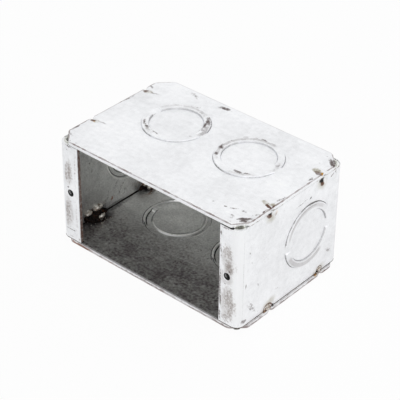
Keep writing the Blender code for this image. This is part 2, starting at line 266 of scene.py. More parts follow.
def soft_lamp(name, place, size, power):
    """A square area lamp that looks at the middle of the box."""
    lamp = bpy.data.objects.new(name, bpy.data.lights.new(name, "AREA"))
    lamp.data.size = size
    lamp.data.energy = power
    turned = (Vector(place) - BOX_MIDDLE).to_track_quat("Z", "Y").to_matrix().to_4x4()
    lamp.matrix_world = Matrix.Translation(place) @ turned
    bpy.context.scene.collection.objects.link(lamp)


make_world()
for name, (place, size, power) in LAMPS.items():
    soft_lamp(name, place, size, power)
    print(name, power, "W")
bpy.context.scene.view_settings.view_transform = "Standard"

# %% [markdown]
# ## Effects that every sheet shares
#
# The real sheets all carry the same things: a pale mottled zinc skin, bare brown metal
# along each sheared edge, and smudges. The inside also gets painted shade. Each effect is
# a shader node group, built once. A group only puts out numbers and colours. The shader
# itself stays in the material.
#
# The first group measures how deep a point lies under the outer faces of the box, to tell
# the inside from the outside. From above, the box is a rectangle with rounded corners.

# %% Node group: depth under the outer faces
def new_group(name, inputs, outputs, kind="ShaderNodeTree"):
    """A new node group, its inputs and its outputs. Sockets are listed under their kinds."""
    tree = bpy.data.node_groups.new(name, kind)
    for way, sockets in (("INPUT", inputs), ("OUTPUT", outputs)):
        for socket, labels in sockets.items():
            for label in labels:
                tree.interface.new_socket(label, in_out=way, socket_type="NodeSocket" + socket)
    return tree, tree.nodes.new("NodeGroupInput").outputs, tree.nodes.new("NodeGroupOutput").inputs


def use_group(tree, group, inputs):
    """Place a group in a tree and return its outputs."""
    return add_node(tree, "ShaderNodeGroup", inputs, node_tree=group).outputs


def make_depth_group():
    tree, given, result = new_group("depth_under_faces", {"Vector": ["Position"]}, {"Float": ["Inside"]})
    x, y, z = coordinates(tree, given["Position"])
    along = sums(tree, "ABSOLUTE", sums(tree, "SUBTRACT", y, MIDDLE_Y))
    past_x = sums(tree, "SUBTRACT", sums(tree, "ABSOLUTE", x), LENGTH / 2 - BEND)
    past_y = sums(tree, "SUBTRACT", along, DEPTH / 2 - BEND)
    squares = [sums(tree, "POWER", sums(tree, "MAXIMUM", past, 0.0), 2.0) for past in (past_x, past_y)]
    outer = sums(tree, "SQRT", sums(tree, "ADD", *squares))
    inner = sums(tree, "MINIMUM", sums(tree, "MAXIMUM", past_x, past_y), 0.0)
    plan_depth = sums(tree, "SUBTRACT", BEND, sums(tree, "ADD", outer, inner))
    level = sums(tree, "ABSOLUTE", sums(tree, "SUBTRACT", z, (UNDERSIDE + TOPSIDE) / 2))
    level_depth = sums(tree, "SUBTRACT", (TOPSIDE - UNDERSIDE) / 2, level)
    depth = sums(tree, "MINIMUM", plan_depth, level_depth)
    tree.links.new(ramp(tree, depth, SHEET * 0.38, SHEET * 0.48), result["Inside"])
    return tree


depth_group = make_depth_group()
print(depth_group.name, len(depth_group.nodes), "nodes")

# %% [markdown]
# Nothing on a worn sheet has a clean outline, so a second group pushes the position about
# with noise before a mark reads it. A mark then comes out ragged though its own shape is
# only an ellipse.

# %% Node group: ragged position
def make_ragged_group():
    inputs = {"Vector": ["Position"], "Float": ["Coarse", "Fine"]}
    tree, given, result = new_group("ragged_position", inputs, {"Vector": ["Position"]})
    position = given["Position"]
    for scale, amount in ((330.0, given["Coarse"]), (1500.0, given["Fine"])):
        cloud = noise(tree, given["Position"], scale, 1.0, output=1)
        centred = vector_node(tree, "SUBTRACT", cloud, (0.5, 0.5, 0.5))
        push = vector_node(tree, "SCALE", centred, scale=amount)
        position = vector_node(tree, "ADD", position, push)
    tree.links.new(position, result["Position"])
    return tree


ragged_group = make_ragged_group()
print(ragged_group.name, len(ragged_group.nodes), "nodes")

# %% [markdown]
# A mark is a flat ellipsoid that lies in the face of a sheet. Dot products with its three
# axes, each divided by the half size in its direction, move a point into the ellipsoid's
# own space, where its surface is at distance 1. Each mark passes on the mask of the marks
# before it, so that marks can be chained one after another.

# %% Node group: one smudge
AXES = ("Along", "Across", "Through")


def mark_group(name, numbers):
    """A new group for one mark, with the sockets that every kind of mark has."""
    inputs = {"Vector": ["Position", "Place", *AXES], "Float": [*numbers, "Strength", "Before"]}
    return new_group(name, inputs, {"Float": ["Mask"]})


def local_axes(tree, given):
    """How far the position lies from the place, along each of three axes."""
    away = vector_node(tree, "SUBTRACT", given["Position"], given["Place"])
    return [vector_node(tree, "DOT_PRODUCT", away, given[axis], output="Value") for axis in AXES]


def make_smudge_group():
    tree, given, result = mark_group("smudge", ["Softness"])
    x, y, z = local_axes(tree, given)
    square = sums(tree, "MULTIPLY", x, x)
    square = sums(tree, "MULTIPLY_ADD", y, y, square)
    square = sums(tree, "MULTIPLY_ADD", z, z, square)
    away = sums(tree, "SQRT", square)
    start = sums(tree, "ADD", 1.0, given["Softness"])
    end = sums(tree, "SUBTRACT", 1.0, given["Softness"])
    mask = ramp(tree, away, start, end, 0.0, given["Strength"])
    tree.links.new(sums(tree, "MAXIMUM", mask, given["Before"]), result["Mask"])
    return tree


smudge_group = make_smudge_group()
print(smudge_group.name, len(smudge_group.nodes), "nodes")

# %% [markdown]
# A knockout is sheared all round but for its tie, and dirt gathers in the crack. This
# group is a mark of the same kind, bent round a circle. Its middle lies on the local X
# axis, and Half Span is half of the angle that it covers. Arcs also paint shade on the
# rings' step walls, and highlights along cracks and rims.

# %% Node group: one arc
def make_arc_group():
    tree, given, result = mark_group("crack_arc", ["Radius", "Half Width", "Half Span"])
    x, y, z = local_axes(tree, given)
    reach = sums(tree, "SQRT", sums(tree, "MULTIPLY_ADD", y, y, sums(tree, "MULTIPLY", x, x)))
    away = sums(tree, "ABSOLUTE", sums(tree, "SUBTRACT", reach, given["Radius"]))
    wide = sums(tree, "MULTIPLY", given["Half Width"], 1.5)
    narrow = sums(tree, "MULTIPLY", given["Half Width"], 0.5)
    across = ramp(tree, away, wide, narrow, 0.0, given["Strength"])
    angle = sums(tree, "ABSOLUTE", sums(tree, "ARCTAN2", y, x))
    along = ramp(tree, sums(tree, "SUBTRACT", angle, given["Half Span"]), 0.1, -0.1)
    depth = ramp(tree, sums(tree, "ABSOLUTE", z), 1.4 * MM, 1.1 * MM)
    mask = sums(tree, "MULTIPLY", sums(tree, "MULTIPLY", across, along), depth)
    tree.links.new(sums(tree, "MAXIMUM", mask, given["Before"]), result["Mask"])
    return tree


arc_group = make_arc_group()
print(arc_group.name, len(arc_group.nodes), "nodes")

# %% [markdown]
# The zinc skin comes next. Hot zinc freezes in soft crystal patches, and handling dulls
# it, so its tone, gloss and height all vary a little, at three sizes. Streaks run along
# the sheet, from the rollers that made it.

# %% Node group: zinc skin
ALONG_THE_STREAKS, ACROSS_THE_STREAKS = 90.0, 1400.0


def make_zinc_group():
    inputs = {"Vector": ["Position"], "Float": ["Contrast"]}
    outputs = {"Float": ["Tone", "Roughness", "Height", "Specks"]}
    tree, given, result = new_group("zinc_skin", inputs, outputs)
    position = given["Position"]
    clouds = noise(tree, position, 55.0, 3.0)
    patches = noise(tree, position, 420.0)
    grain = noise(tree, position, 2200.0)
    scale = (ALONG_THE_STREAKS, ACROSS_THE_STREAKS, ACROSS_THE_STREAKS)
    stretched = add_node(tree, "ShaderNodeMapping", {"Vector": position, "Scale": scale}).outputs[0]
    streaks = noise(tree, stretched, 1.0)
    cells = add_node(tree, "ShaderNodeTexVoronoi", {"Vector": position, "Scale": 240.0})
    facet = add_node(tree, "ShaderNodeSeparateColor", {0: cells.outputs["Color"]}).outputs[0]
    total = sums(tree, "MULTIPLY", sums(tree, "SUBTRACT", clouds, 0.5), 0.9)
    for source, weight in ((patches, 0.7), (grain, 0.6), (streaks, 0.25), (facet, 0.10)):
        total = sums(tree, "MULTIPLY_ADD", sums(tree, "SUBTRACT", source, 0.5), weight, total)
    height = sums(tree, "MULTIPLY_ADD", grain, 0.35, sums(tree, "MULTIPLY", patches, 0.65))
    results = {
        "Tone": sums(tree, "MULTIPLY_ADD", total, given["Contrast"], 1.0),
        "Roughness": sums(tree, "MULTIPLY_ADD", total, -0.25, 0.5, clamp=True),
        "Height": height,
        "Specks": ramp(tree, noise(tree, position, 1500.0, 3.0), 0.65, 0.74),
    }
    for label, value in results.items():
        tree.links.new(value, result[label])
    return tree


zinc_group = make_zinc_group()
print(zinc_group.name, len(zinc_group.nodes), "nodes")

# %% [markdown]
# Inside, painted shade darkens the zinc: on the floor towards the open front, and on the
# walls towards the bottom, mottled by noise. This group says how deep that shade is at a point.

# %% Node group: painted shade inside
def make_inside_shade_group():
    inputs = {"Vector": ["Position"], "Float": ["Inside"]}
    tree, given, result = new_group("painted_inside_shade", inputs, {"Float": ["Mask"]})
    position = given["Position"]
    _, y, z = coordinates(tree, position)
    clouds = swing(tree, position, 130.0, 4.0)
    patches = swing(tree, position, 420.0, 4.0)
    grains = swing(tree, position, 900.0, 5.0)
    wobble = sums(tree, "MULTIPLY_ADD", clouds, 30.0 * MM, y)
    near_front = ramp(tree, wobble, 12.0 * MM, -17.0 * MM, 0.06)
    on_floor = ramp(tree, z, UNDERSIDE + SHEET * 1.6, UNDERSIDE + SHEET * 1.2)
    on_wall = ramp(tree, z, 36.0 * MM, 3.0 * MM, 0.0, 0.34)
    share = sums(tree, "MAXIMUM", sums(tree, "MULTIPLY", near_front, on_floor), on_wall)
    uneven = sums(tree, "MULTIPLY_ADD", grains, 1.5, sums(tree, "MULTIPLY_ADD", patches, 0.9, clouds))
    mottled = sums(tree, "ADD", uneven, 0.74)
    mask = sums(tree, "MULTIPLY", sums(tree, "MULTIPLY", share, mottled), given["Inside"], clamp=True)
    tree.links.new(mask, result["Mask"])
    return tree


inside_shade_group = make_inside_shade_group()
print(inside_shade_group.name, len(inside_shade_group.nodes), "nodes")

# %% [markdown]
# A sheared edge has lost its zinc and shows a thin brown line. A plate's outline is a
# rectangle with cut corners, so the distance to it can be worked out from the position
# alone, and so can the distance below the face. A point near both is on the arris. Noise
# makes the line thick and thin and breaks it up. The back edge was handled least and has
# kept most of its zinc.

# %% Node group: bare arris of a plate
AT_45_DEGREES = 0.707


def make_arris_group():
    sizes = ["Half Length", "Cut", "Front Right Cut X", "Front Right Cut Y", "Face", "Width"]
    inputs = {"Vector": ["Position"], "Float": sizes}
    tree, given, result = new_group("bare_arris", inputs, {"Float": ["Mask"]})
    position = given["Position"]
    x, y, z = coordinates(tree, position)
    along = sums(tree, "SUBTRACT", y, MIDDLE_Y)
    to_x = sums(tree, "SUBTRACT", given["Half Length"], sums(tree, "ABSOLUTE", x))
    to_y = sums(tree, "SUBTRACT", DEPTH / 2, sums(tree, "ABSOLUTE", along))
    odd = sums(tree, "MULTIPLY", sums(tree, "GREATER_THAN", x, 0.0), sums(tree, "LESS_THAN", along, 0.0))
    cuts = []
    for label in ("Front Right Cut X", "Front Right Cut Y"):
        extra = sums(tree, "SUBTRACT", given[label], given["Cut"])
        cuts.append(sums(tree, "MULTIPLY_ADD", extra, odd, given["Cut"]))
    share = sums(tree, "ADD", sums(tree, "DIVIDE", to_x, cuts[0]), sums(tree, "DIVIDE", to_y, cuts[1]))
    past_cut = sums(tree, "SUBTRACT", share, 1.0)
    to_cut = sums(tree, "MULTIPLY", past_cut, sums(tree, "MULTIPLY", cuts[0], AT_45_DEGREES))
    outline = sums(tree, "MINIMUM", sums(tree, "MINIMUM", to_x, to_y), to_cut)
    below = sums(tree, "ABSOLUTE", sums(tree, "SUBTRACT", z, given["Face"]))
    away = sums(tree, "MAXIMUM", outline, below)
    uneven = ramp(tree, noise(tree, position, 420.0, 3.0), 0.30, 0.70, 0.45, 1.35)
    width = sums(tree, "MULTIPLY", given["Width"], uneven)
    line = ramp(tree, sums(tree, "DIVIDE", away, width), 1.15, 0.75)
    worn = ramp(tree, noise(tree, position, 190.0, 3.0), 0.38, 0.66, 1.0, 0.45)
    clean = ramp(tree, along, DEPTH / 2 - 1.2 * MM, DEPTH / 2 - 0.4 * MM, 1.0, 0.25)
    worn = sums(tree, "MULTIPLY", worn, clean)
    tree.links.new(sums(tree, "MULTIPLY", line, worn), result["Mask"])
    return tree


arris_group = make_arris_group()
print(arris_group.name, len(arris_group.nodes), "nodes")

# %% [markdown]
# ## Where the marks lie
#
# Marks are lists of short rows, in millimetres, on named faces. Each face has an origin
# and two directions, so a row only says how far along and across the mark lies, how it is
# turned, how long and wide it is, and how strong.

# %% Faces
FACES = {
    "top": ((0, 0, TOPSIDE), (1, 0, 0), (0, 1, 0)),
    "right_end": ((RIGHT, 0, 0), (0, 1, 0), (0, 0, 1)),
    "left_end": ((-RIGHT, 0, 0), (0, -1, 0), (0, 0, 1)),
    "front": ((0, FRONT, 0), (1, 0, 0), (0, 0, 1)),
    "back": ((0, BACK, 0), (-1, 0, 0), (0, 0, 1)),
    "inside_left": ((-RIGHT + SHEET, 0, 0), (0, 1, 0), (0, 0, 1)),
    "inside_right": ((RIGHT - SHEET, 0, 0), (0, 1, 0), (0, 0, 1)),
    "left_flange_edge": ((-RIGHT + LEFT_FLANGE, 0, 0), (0, 1, 0), (0, 0, 1)),
    "inside_floor": ((0, 0, FLOOR_FACE), (1, 0, 0), (0, 1, 0)),
    "in_the_hole": ((0, FRONT + 1.0 * MM, 0), (1, 0, 0), (0, 0, 1)),
}
print(len(FACES), "faces")


# %% Rows of marks on a face
def on_face(face, u, v, turn, half_length=1.0, half_width=1.0, depth=1.0):
    """The place of a mark in metres, and its axes over its half sizes."""
    origin, along, across = (Vector(part) for part in FACES[face])
    angle = math.radians(turn)
    return {
        "Place": origin + (along * u + across * v) * MM,
        "Along": (along * math.cos(angle) + across * math.sin(angle)) / half_length,
        "Across": (across * math.cos(angle) - along * math.sin(angle)) / half_width,
        "Through": along.cross(across) / depth,
    }


def smudges(tree, position, face, rows, mask=0.0, softness=0.45, depth=1.0):
    """Chain one smudge for each row: u, v, turn, half length, half width, strength."""
    for u, v, turn, half_length, half_width, strength in rows:
        mask = use_group(tree, smudge_group, {
            **on_face(face, u, v, turn, half_length * MM, half_width * MM, depth * MM),
            "Position": position, "Softness": softness, "Strength": strength, "Before": mask,
        })["Mask"]
    return mask


def arcs(tree, position, face, rows, mask=0.0):
    """Chain one arc for each row: u, v, radius, first and last degree, half width, strength."""
    for u, v, radius, first, last, half_width, strength in rows:
        mask = use_group(tree, arc_group, {
            **on_face(face, u, v, (first + last) / 2), "Position": position, "Radius": radius * MM,
            "Half Width": half_width * MM, "Half Span": math.radians(last - first) / 2,
            "Strength": strength, "Before": mask,
        })["Mask"]
    return mask


print("a mark's place:", on_face("top", 10, 5, 0)["Place"])


# %% Rows that repeat, and centres that they share
def around(centres, rows):
    """The same rows round each centre, where a row leaves out its own u and v."""
    return [(*centre, *row) for centre in centres for row in rows]


def both_sides(rows):
    """The same rows on the left and on the right of a face's middle."""
    return [(side * u, *rest) for side in (-1, 1) for u, *rest in rows]


# Centres of knockouts, screw holes and welds on their faces, in millimetres. A disc of the
# floor sits a little off the middle of its ring. The left end's knockout is given twice, as
# seen from outside and from inside.
TOP_LEFT, TOP_RIGHT = both_sides([(19.15, 7.05)])
FLOOR_RINGS = [(-18.85, 7.75), (19.45, 7.75)]
DISC_SHIFT = 0.55
FLOOR_DISCS = [(x + DISC_SHIFT, y + DISC_SHIFT) for x, y in FLOOR_RINGS]
RIGHT_END, LEFT_END, LEFT_INSIDE = (9.75, 25.35), (-7.55, 26.55), (7.55, 26.55)
BACK_KNOCKOUTS = both_sides([(19.15, 25.35)])
SCREW_HOLES = both_sides([(41.67, 25.35)])
FRONT_WELD, BACK_WELD = -14.45, 17.45
print("screw holes at", SCREW_HOLES)

# %% [markdown]
# ## The sheets
#
# All three sheets are the same zinc, with the same order of layers on it: the skin, bare
# edges, grime, then the burns of the welds, which run from olive and brown to straw yellow
# and soot. Only the rows of marks differ, so one function makes each sheet's material from
# its own layers.

# %% Tones of the zinc and of what lies on it
OUTER_ZINC = paint(245, 246, 248)
INNER_ZINC = paint(246, 247, 245)
# Painted shade inside the box, deepest at the front of the floor and the foot of the walls.
INSIDE_SHADE_ZINC = paint(126, 119, 121)
WEAR = paint(146, 132, 124)
EDGE_BROWN = paint(128, 110, 106)
# Grime; also painted shade low on the right end, at its front bend and along the bottom plate's edge.
GRIME_AND_SHADE = paint(112, 100, 98)
# Dirt in the knockouts' cracks, and painted shade on the rings' step walls that face the camera.
CRACK_DIRT_AND_SHADE = paint(72, 62, 52)
BURN_BROWN = paint(92, 46, 14)
# Soot, and also painted shade in the screw holes and along the inside knockouts' cracks.
SOOT_AND_SHADE = paint(16, 11, 10)
RUST = paint(150, 84, 34)
STRAW = paint(214, 160, 66)
OLIVE = paint(160, 150, 116)
# Bright bare metal, and also painted highlights on the bend, rims, cracks and hole walls.
BRIGHT = paint(250, 251, 252)
print("outer zinc reflects", round(OUTER_ZINC[1], 2))


# %% The sheet material
# A broken layer is torn by noise: how far, and where its edges then begin and end.
TEAR, TORN_START, TORN_END = 2.6, 0.34, 0.26


def layer(colour, rows, kind=smudges, wander="coarse", broken=0.0, cover=0.9, metallic=0.2,
          roughness=0.75, **extra):
    """One coat on a sheet: rows maps a face to its marks, broken says how ragged they are."""
    return dict(colour=colour, rows=rows, kind=kind, wander=wander, broken=broken, cover=cover,
                metallic=metallic, roughness=roughness, extra=extra)


def bumps(tree, height, strength, distance):
    """Bumps that change only how light falls on a surface."""
    inputs = {"Strength": strength, "Distance": distance * MM, "Height": height}
    return add_node(tree, "ShaderNodeBump", inputs).outputs[0]


def make_sheet_material(name, arrises, layers):
    material, tree, shader, position = new_material(name)
    wander = {"none": position}
    for label, coarse, fine in (("coarse", 1.1, 0.55), ("fine", 0.2, 0.12)):
        inputs = {"Position": position, "Coarse": coarse * MM, "Fine": fine * MM}
        wander[label] = use_group(tree, ragged_group, inputs)["Position"]
    inside = use_group(tree, depth_group, {"Position": position})["Inside"]
    contrast = ramp(tree, inside, 0.0, 1.0, 0.28, 0.7)
    skin = use_group(tree, zinc_group, {"Position": position, "Contrast": contrast})
    base = blend(tree, inside, OUTER_ZINC, INNER_ZINC)
    colour = vector_node(tree, "SCALE", base, scale=skin["Tone"])
    metallic = ramp(tree, inside, 0.0, 1.0, 0.72, 0.95)
    roughness = sums(tree, "MULTIPLY_ADD", inside, -0.15, skin["Roughness"])

    colour = blend(tree, sums(tree, "MULTIPLY", skin["Specks"], 0.12), colour, GRIME_AND_SHADE)
    grains = swing(tree, position, 1150.0, 4.0)
    sand = sums(tree, "MULTIPLY", swing(tree, position, 2100.0, 3.0), inside)
    grit = sums(tree, "MULTIPLY_ADD", sand, 0.7, 1.0)
    colour = vector_node(tree, "SCALE", colour, scale=grit)
    # Painted shade inside: darker towards the front of the floor and the bottom of the walls.
    inside_shade = use_group(tree, inside_shade_group, {"Position": position, "Inside": inside})["Mask"]
    colour = blend(tree, inside_shade, colour, INSIDE_SHADE_ZINC)
    for strength, sizes in arrises:
        line = use_group(tree, arris_group, {"Position": position, **sizes})["Mask"]
        colour = blend(tree, sums(tree, "MULTIPLY", line, strength), colour, EDGE_BROWN)

    for coat in layers:
        mask = 0.0
        broken = coat["broken"]
        for face, rows in coat["rows"].items():
            mask = coat["kind"](tree, wander[coat["wander"]], face, rows, mask, **coat["extra"])
        if broken:
            torn = sums(tree, "MULTIPLY_ADD", grains, TEAR * broken, mask)
            torn = ramp(tree, torn, TORN_START * broken, 1 - TORN_END * broken, 0.0, coat["cover"])
            mask = sums(tree, "MULTIPLY", torn, ramp(tree, mask, 0.02, 0.2))
        colour = blend(tree, mask, colour, coat["colour"])
        metallic = ramp(tree, mask, 0.0, 1.0, metallic, coat["metallic"])
        roughness = ramp(tree, mask, 0.0, 1.0, roughness, coat["roughness"])
    fill(tree, shader, {
        "Base Color": colour, "Roughness": roughness, "Metallic": metallic, "Specular IOR Level": 0.15,
        "Normal": bumps(tree, skin["Height"], 0.25, 0.05),
    })
    return material


print("sheet material ready")

# %% [markdown]
# ### Top plate
#
# It is the cleanest sheet, nearly white. Dark lines lie along the near side of each outer
# crack and the far side of each inner one: dirt in the crack, and painted shade on the
# step walls that face the camera. Handling left grey smudges, grey bands lie on the rings,
# and the welds burnt its two ends.

# %% Top plate: rows of marks
TOP_GRIME = [
    (-26.9, 19.1, 42, 1.7, 0.5, 0.5), (-22.2, 21.3, 40, 2.5, 0.6, 0.5), (-17.3, 19.5, -14, 2.9, 0.7, 0.5),
    (-10.1, 16.5, -43, 3.4, 1.0, 0.9), (-7.7, 9.4, -10, 1.0, 0.6, 0.6), (-25.9, -3.3, -30, 3.0, 0.8, 0.85),
    (-20.9, -4.5, -6, 2.4, 0.5, 0.75), (-7.7, 2.8, 42, 1.0, 0.4, 0.5), (8.9, 17.6, 34, 1.4, 0.55, 0.8),
    (12.6, 19.6, 20, 1.2, 0.5, 0.75), (15.7, 20.4, -8, 1.7, 0.7, 0.85), (6.5, 11.6, 42, 0.5, 0.4, 0.6),
    (6.3, 5.4, -52, 2.0, 0.9, 0.95), (5.7, 6.9, 42, 0.7, 0.4, 0.6), (5.2, 9.8, 49, 0.6, 0.4, 0.6),
    (8.0, 0.0, -52, 1.5, 0.8, 1.0), (22.6, -4.1, -4, 2.6, 1.0, 0.85), (26.3, -3.1, 25, 1.5, 0.6, 0.75),
    (44.5, -26.1, 42, 2.8, 0.8, 0.95), (45.0, -27.2, 42, 2.0, 0.7, 0.95), (37.1, -23.6, 42, 1.7, 0.5, 0.6),
    (41.3, -22.5, 11, 1.3, 0.6, 0.5), (33.7, -24.5, 18, 0.8, 0.5, 0.6), (28.5, -24.8, 32, 0.4, 0.4, 0.5),
    (40.0, -27.3, -16, 1.3, 0.5, 0.5), (40.1, -28.3, 7, 1.1, 0.7, 0.3), (41.5, -30.8, 27, 0.5, 0.3, 0.4),
    (-11.9, 28.9, 10, 2.6, 1.0, 0.8), (-28.1, 28.6, -25, 3.1, 1.0, 0.4), (-41.6, -31.1, 22, 0.5, 0.5, 0.5),
    (-38.7, -30.6, 11, 0.6, 0.5, 0.5), (-45.3, -27.2, -27, 2.0, 0.7, 0.35),
    (46.3, -20.8, 52, 0.9, 0.4, 0.5), (46.9, -17.8, 106, 0.7, 0.5, 0.6), (45.4, -22.3, 0, 0.5, 0.3, 0.4),
    (45.7, 25.7, -40, 3.0, 0.9, 0.9), (45.7, 26.8, -31, 1.7, 0.8, 0.7), (42.1, 22.7, -8, 0.6, 0.3, 0.5),
    (41.5, 28.3, 17, 0.4, 0.3, 0.4), (46.6, 11.1, 90, 1.9, 0.5, 0.6), (46.5, -7.7, 86, 2.7, 0.5, 0.5),
    (46.7, -5.9, 91, 1.5, 0.4, 0.6), (-46.5, 21.8, -16, 1.2, 0.6, 0.6), (-8.6, 12.8, -74, 3.3, 0.8, 0.9),
    (15.7, 20.4, -12, 1.6, 0.45, 0.6), (6.9, 5.4, -45, 1.2, 0.6, 0.7), (31.5, 9.7, 30, 1.1, 0.5, 0.55),
    (22.4, -3.5, 3, 1.9, 0.5, 0.75), (-31.4, 2.6, -66, 2.4, 0.6, 0.3), (-29.2, -1.2, -54, 2.0, 0.6, 0.85),
    (-42.0, -13.0, 15, 2.2, 0.4, 0.6), (-42.0, 18.4, 15, 2.2, 0.4, 0.5), (-47.0, -22.5, 90, 2.4, 0.4, 0.6),
    (-47.0, 8.5, 90, 3.6, 0.3, 0.5),
]
# Dark arcs: dirt in the cracks, and painted shade on the step walls that face the camera.
TOP_CRACK_DIRT_AND_SHADE = around([TOP_LEFT], [
    (14.3, -122, -92, 0.20, 0.5), (14.3, -92, -64, 0.18, 0.34), (14.3, -64, -12, 0.14, 0.42),
    (14.3, 10, 36, 0.19, 0.5), (14.3, 40, 88, 0.12, 0.3), (14.3, 88, 122, 0.2, 0.6),
    (14.3, 122, 152, 0.18, 0.5), (11.3, 180, 212, 0.15, 0.5), (11.3, 60, 168, 0.14, 0.34),
    (11.3, -125, -95, 0.16, 0.44), (11.3, -20, 30, 0.14, 0.45),
])
TOP_CRACK_DIRT_AND_SHADE += around([TOP_RIGHT], [
    (14.3, -145, -122, 0.18, 0.34), (14.3, -122, -92, 0.20, 0.6), (14.3, -92, -57, 0.18, 0.3),
    (14.3, -57, -11, 0.15, 0.5), (14.3, 11, 48, 0.15, 0.36), (14.3, 50, 170, 0.10, 0.18),
    (11.3, 70, 150, 0.12, 0.28), (11.3, 150, 212, 0.15, 0.4), (11.3, -120, -12, 0.10, 0.24),
])
TOP_BANDS = around([TOP_LEFT], [
    (13.2, -8, 28, 0.9, 0.5), (13.2, 28, 60, 0.9, 0.3), (12.9, 60, 120, 0.8, 0.34),
    (13.0, 120, 162, 0.9, 0.3), (12.9, -125, -94, 0.9, 0.3), (13.0, -36, -8, 0.8, 0.14),
    (15.3, 62, 160, 0.8, 0.16),
])
TOP_BANDS += around([TOP_RIGHT], [
    (15.3, 72, 168, 0.7, 0.12), (12.8, 75, 215, 0.8, 0.42), (13.2, -90, -40, 0.8, 0.3),
    (12.7, -12, 20, 0.8, 0.3), (13.0, -150, -128, 0.8, 0.3),
])
TOP_OLIVE = [
    (44.6, 17.6, 0, 2.2, 1.7, 0.6), (44.2, -12.9, -14, 2.6, 1.2, 0.5), (46.6, -11.6, 60, 1.2, 0.8, 0.6),
    (-44.9, -13.6, 10, 2.4, 1.2, 0.5), (-44.9, 17.9, 10, 2.4, 1.2, 0.5),
]
TOP_BROWN = [
    (46.2, -13.7, -8, 1.9, 0.85, 1.0), (47.2, -12.9, 60, 1.2, 0.6, 1.0), (47.4, -12.3, -6, 0.7, 0.6, 0.8),
    (45.9, 16.4, -15, 1.9, 1.0, 0.65), (47.2, 16.7, -2, 1.0, 1.0, 0.7), (-45.7, -13.9, 20, 1.1, 0.8, 0.75),
    (-43.3, -13.3, 11, 1.6, 0.6, 0.28), (-45.7, 17.6, 20, 1.1, 0.9, 0.75),
    (-43.2, 18.1, 15, 1.6, 0.6, 0.28), (46.9, -16.8, 91, 1.5, 0.4, 0.5),
]
TOP_STRAW = [(47.5, 17.2, -9, 0.6, 0.7, 0.95), (-44.9, -14.2, 12, 0.4, 0.4, 0.7)]
TOP_BRIGHT = [
    (43.6, 19.0, -8, 0.7, 0.8, 0.6), (44.0, -12.4, -12, 0.5, 0.7, 0.5), (-43.9, -13.5, 15, 0.9, 0.4, 0.8),
    (-44.2, 17.8, 16, 0.9, 0.4, 0.6),
]
print(len(TOP_GRIME), "smudges and", len(TOP_CRACK_DIRT_AND_SHADE), "arcs on the top plate")

# %% [markdown]
# ### The strip
#
# Its two flanges are the most scuffed part, with grey-brown wear in broad upright
# patches. Its right end has a few small marks and the burnt weld spots at its top and
# bottom. The ends carry the same marks as the plates' edges beside them, so both share
# a list.

# %% Right end, flanges and back: rows of marks
END_GRIME = [
    (4.9, 42.4, 8, 4.3, 0.25, 0.5), (24.0, 10.2, -29, 2.0, 1.0, 0.5), (23.8, 46.5, 18, 1.6, 0.5, 0.5),
    (26.0, 46.9, -84, 1.7, 0.5, 0.4), (-22.3, 48.3, -15, 1.0, 0.25, 0.6), (18.6, 3.6, -9, 2.0, 1.4, 0.4),
    (-27.8, 21.2, -100, 1.1, 0.35, 0.7), (-24.2, 8.5, -47, 3.7, 0.9, 0.5),
    (-24.0, 10.1, -56, 2.9, 0.5, 0.45), (-20.4, 18.0, -81, 0.8, 0.25, 0.6),
    (-24.6, 30.3, -83, 0.8, 0.2, 0.5), (-28.9, 4.6, -15, 1.9, 0.9, 0.6), (-26.0, 36.0, -60, 1.2, 0.4, 0.4),
    (-17.0, 27.0, -75, 1.4, 0.3, 0.35), (-8.0, 9.0, -40, 1.6, 0.4, 0.4),
]
# Painted shade: the lower part of the right end made a little darker.
END_LOWER_SHADE = [(0.0, 2.0, 0, 70.0, 26.0, 0.055)]
# Painted shade: a faint line where the front bend meets the right end.
END_BEND_SHADE_LINE = [(-29.3, 25.3, 90, 24.0, 0.12, 0.5)]
# Dark arcs at the ends' knockouts: dirt in the cracks, and painted shade on the step walls that face the
# camera.
END_CRACK_DIRT_AND_SHADE_ROWS = [
    (14.3, 40, 177, 0.15, 0.60), (14.3, 62, 112, 0.19, 0.82), (14.3, 186, 228, 0.15, 0.52),
    (14.3, 228, 400, 0.10, 0.24), (11.3, 6, 45, 0.14, 0.40), (11.3, -150, -8, 0.13, 0.36),
    (11.3, 72, 165, 0.10, 0.26),
]
END_CRACK_DIRT_AND_SHADE = around([RIGHT_END], END_CRACK_DIRT_AND_SHADE_ROWS)
LEFT_END_CRACK_DIRT_AND_SHADE = around([LEFT_END], END_CRACK_DIRT_AND_SHADE_ROWS)
END_BANDS = around([RIGHT_END], [
    (12.8, -156, -52, 1.0, 0.34), (13.3, 70, 150, 0.4, 0.42), (13.0, 48, 165, 0.8, 0.24),
])
# Painted highlights along the right end ring's edges.
END_RING_HIGHLIGHTS = around([RIGHT_END], [(13.8, 130, 172, 0.22, 1.0), (11.8, -85, -20, 0.24, 1.0)])
# Painted highlight along the front right bend.
BEND_HIGHLIGHT = [(46.4, 25.2, 90, 60.0, 2.9, 0.75)]
END_BROWN = [
    (-15.2, 47.1, -20, 1.9, 0.9, 0.8), (-11.2, 46.3, -41, 0.8, 0.8, 0.35), (-15.4, 2.3, 15, 1.4, 0.5, 0.9),
    (16.0, 2.2, 0, 1.2, 0.45, 0.9), (21.9, 0.9, 0, 1.6, 0.5, 0.6), (17.3, 45.7, -40, 1.4, 0.9, 0.9),
    (0.8, 16.6, -39, 1.3, 0.9, 0.25),
]
END_OUTLINES = [(-13.95, 1.95, 2.75, 12, 178, 0.30, 0.95), (18.8, 3.3, 1.6, -170, 170, 0.22, 0.7)]
END_BLACK = [
    (10.3, 42.1, 23, 0.8, 0.3, 0.8), (16.7, 47.1, -25, 1.35, 0.95, 1.0), (-14.7, 47.8, -8, 1.0, 0.6, 0.7),
    (-10.9, 2.6, 0, 0.6, 0.5, 1.0),
]
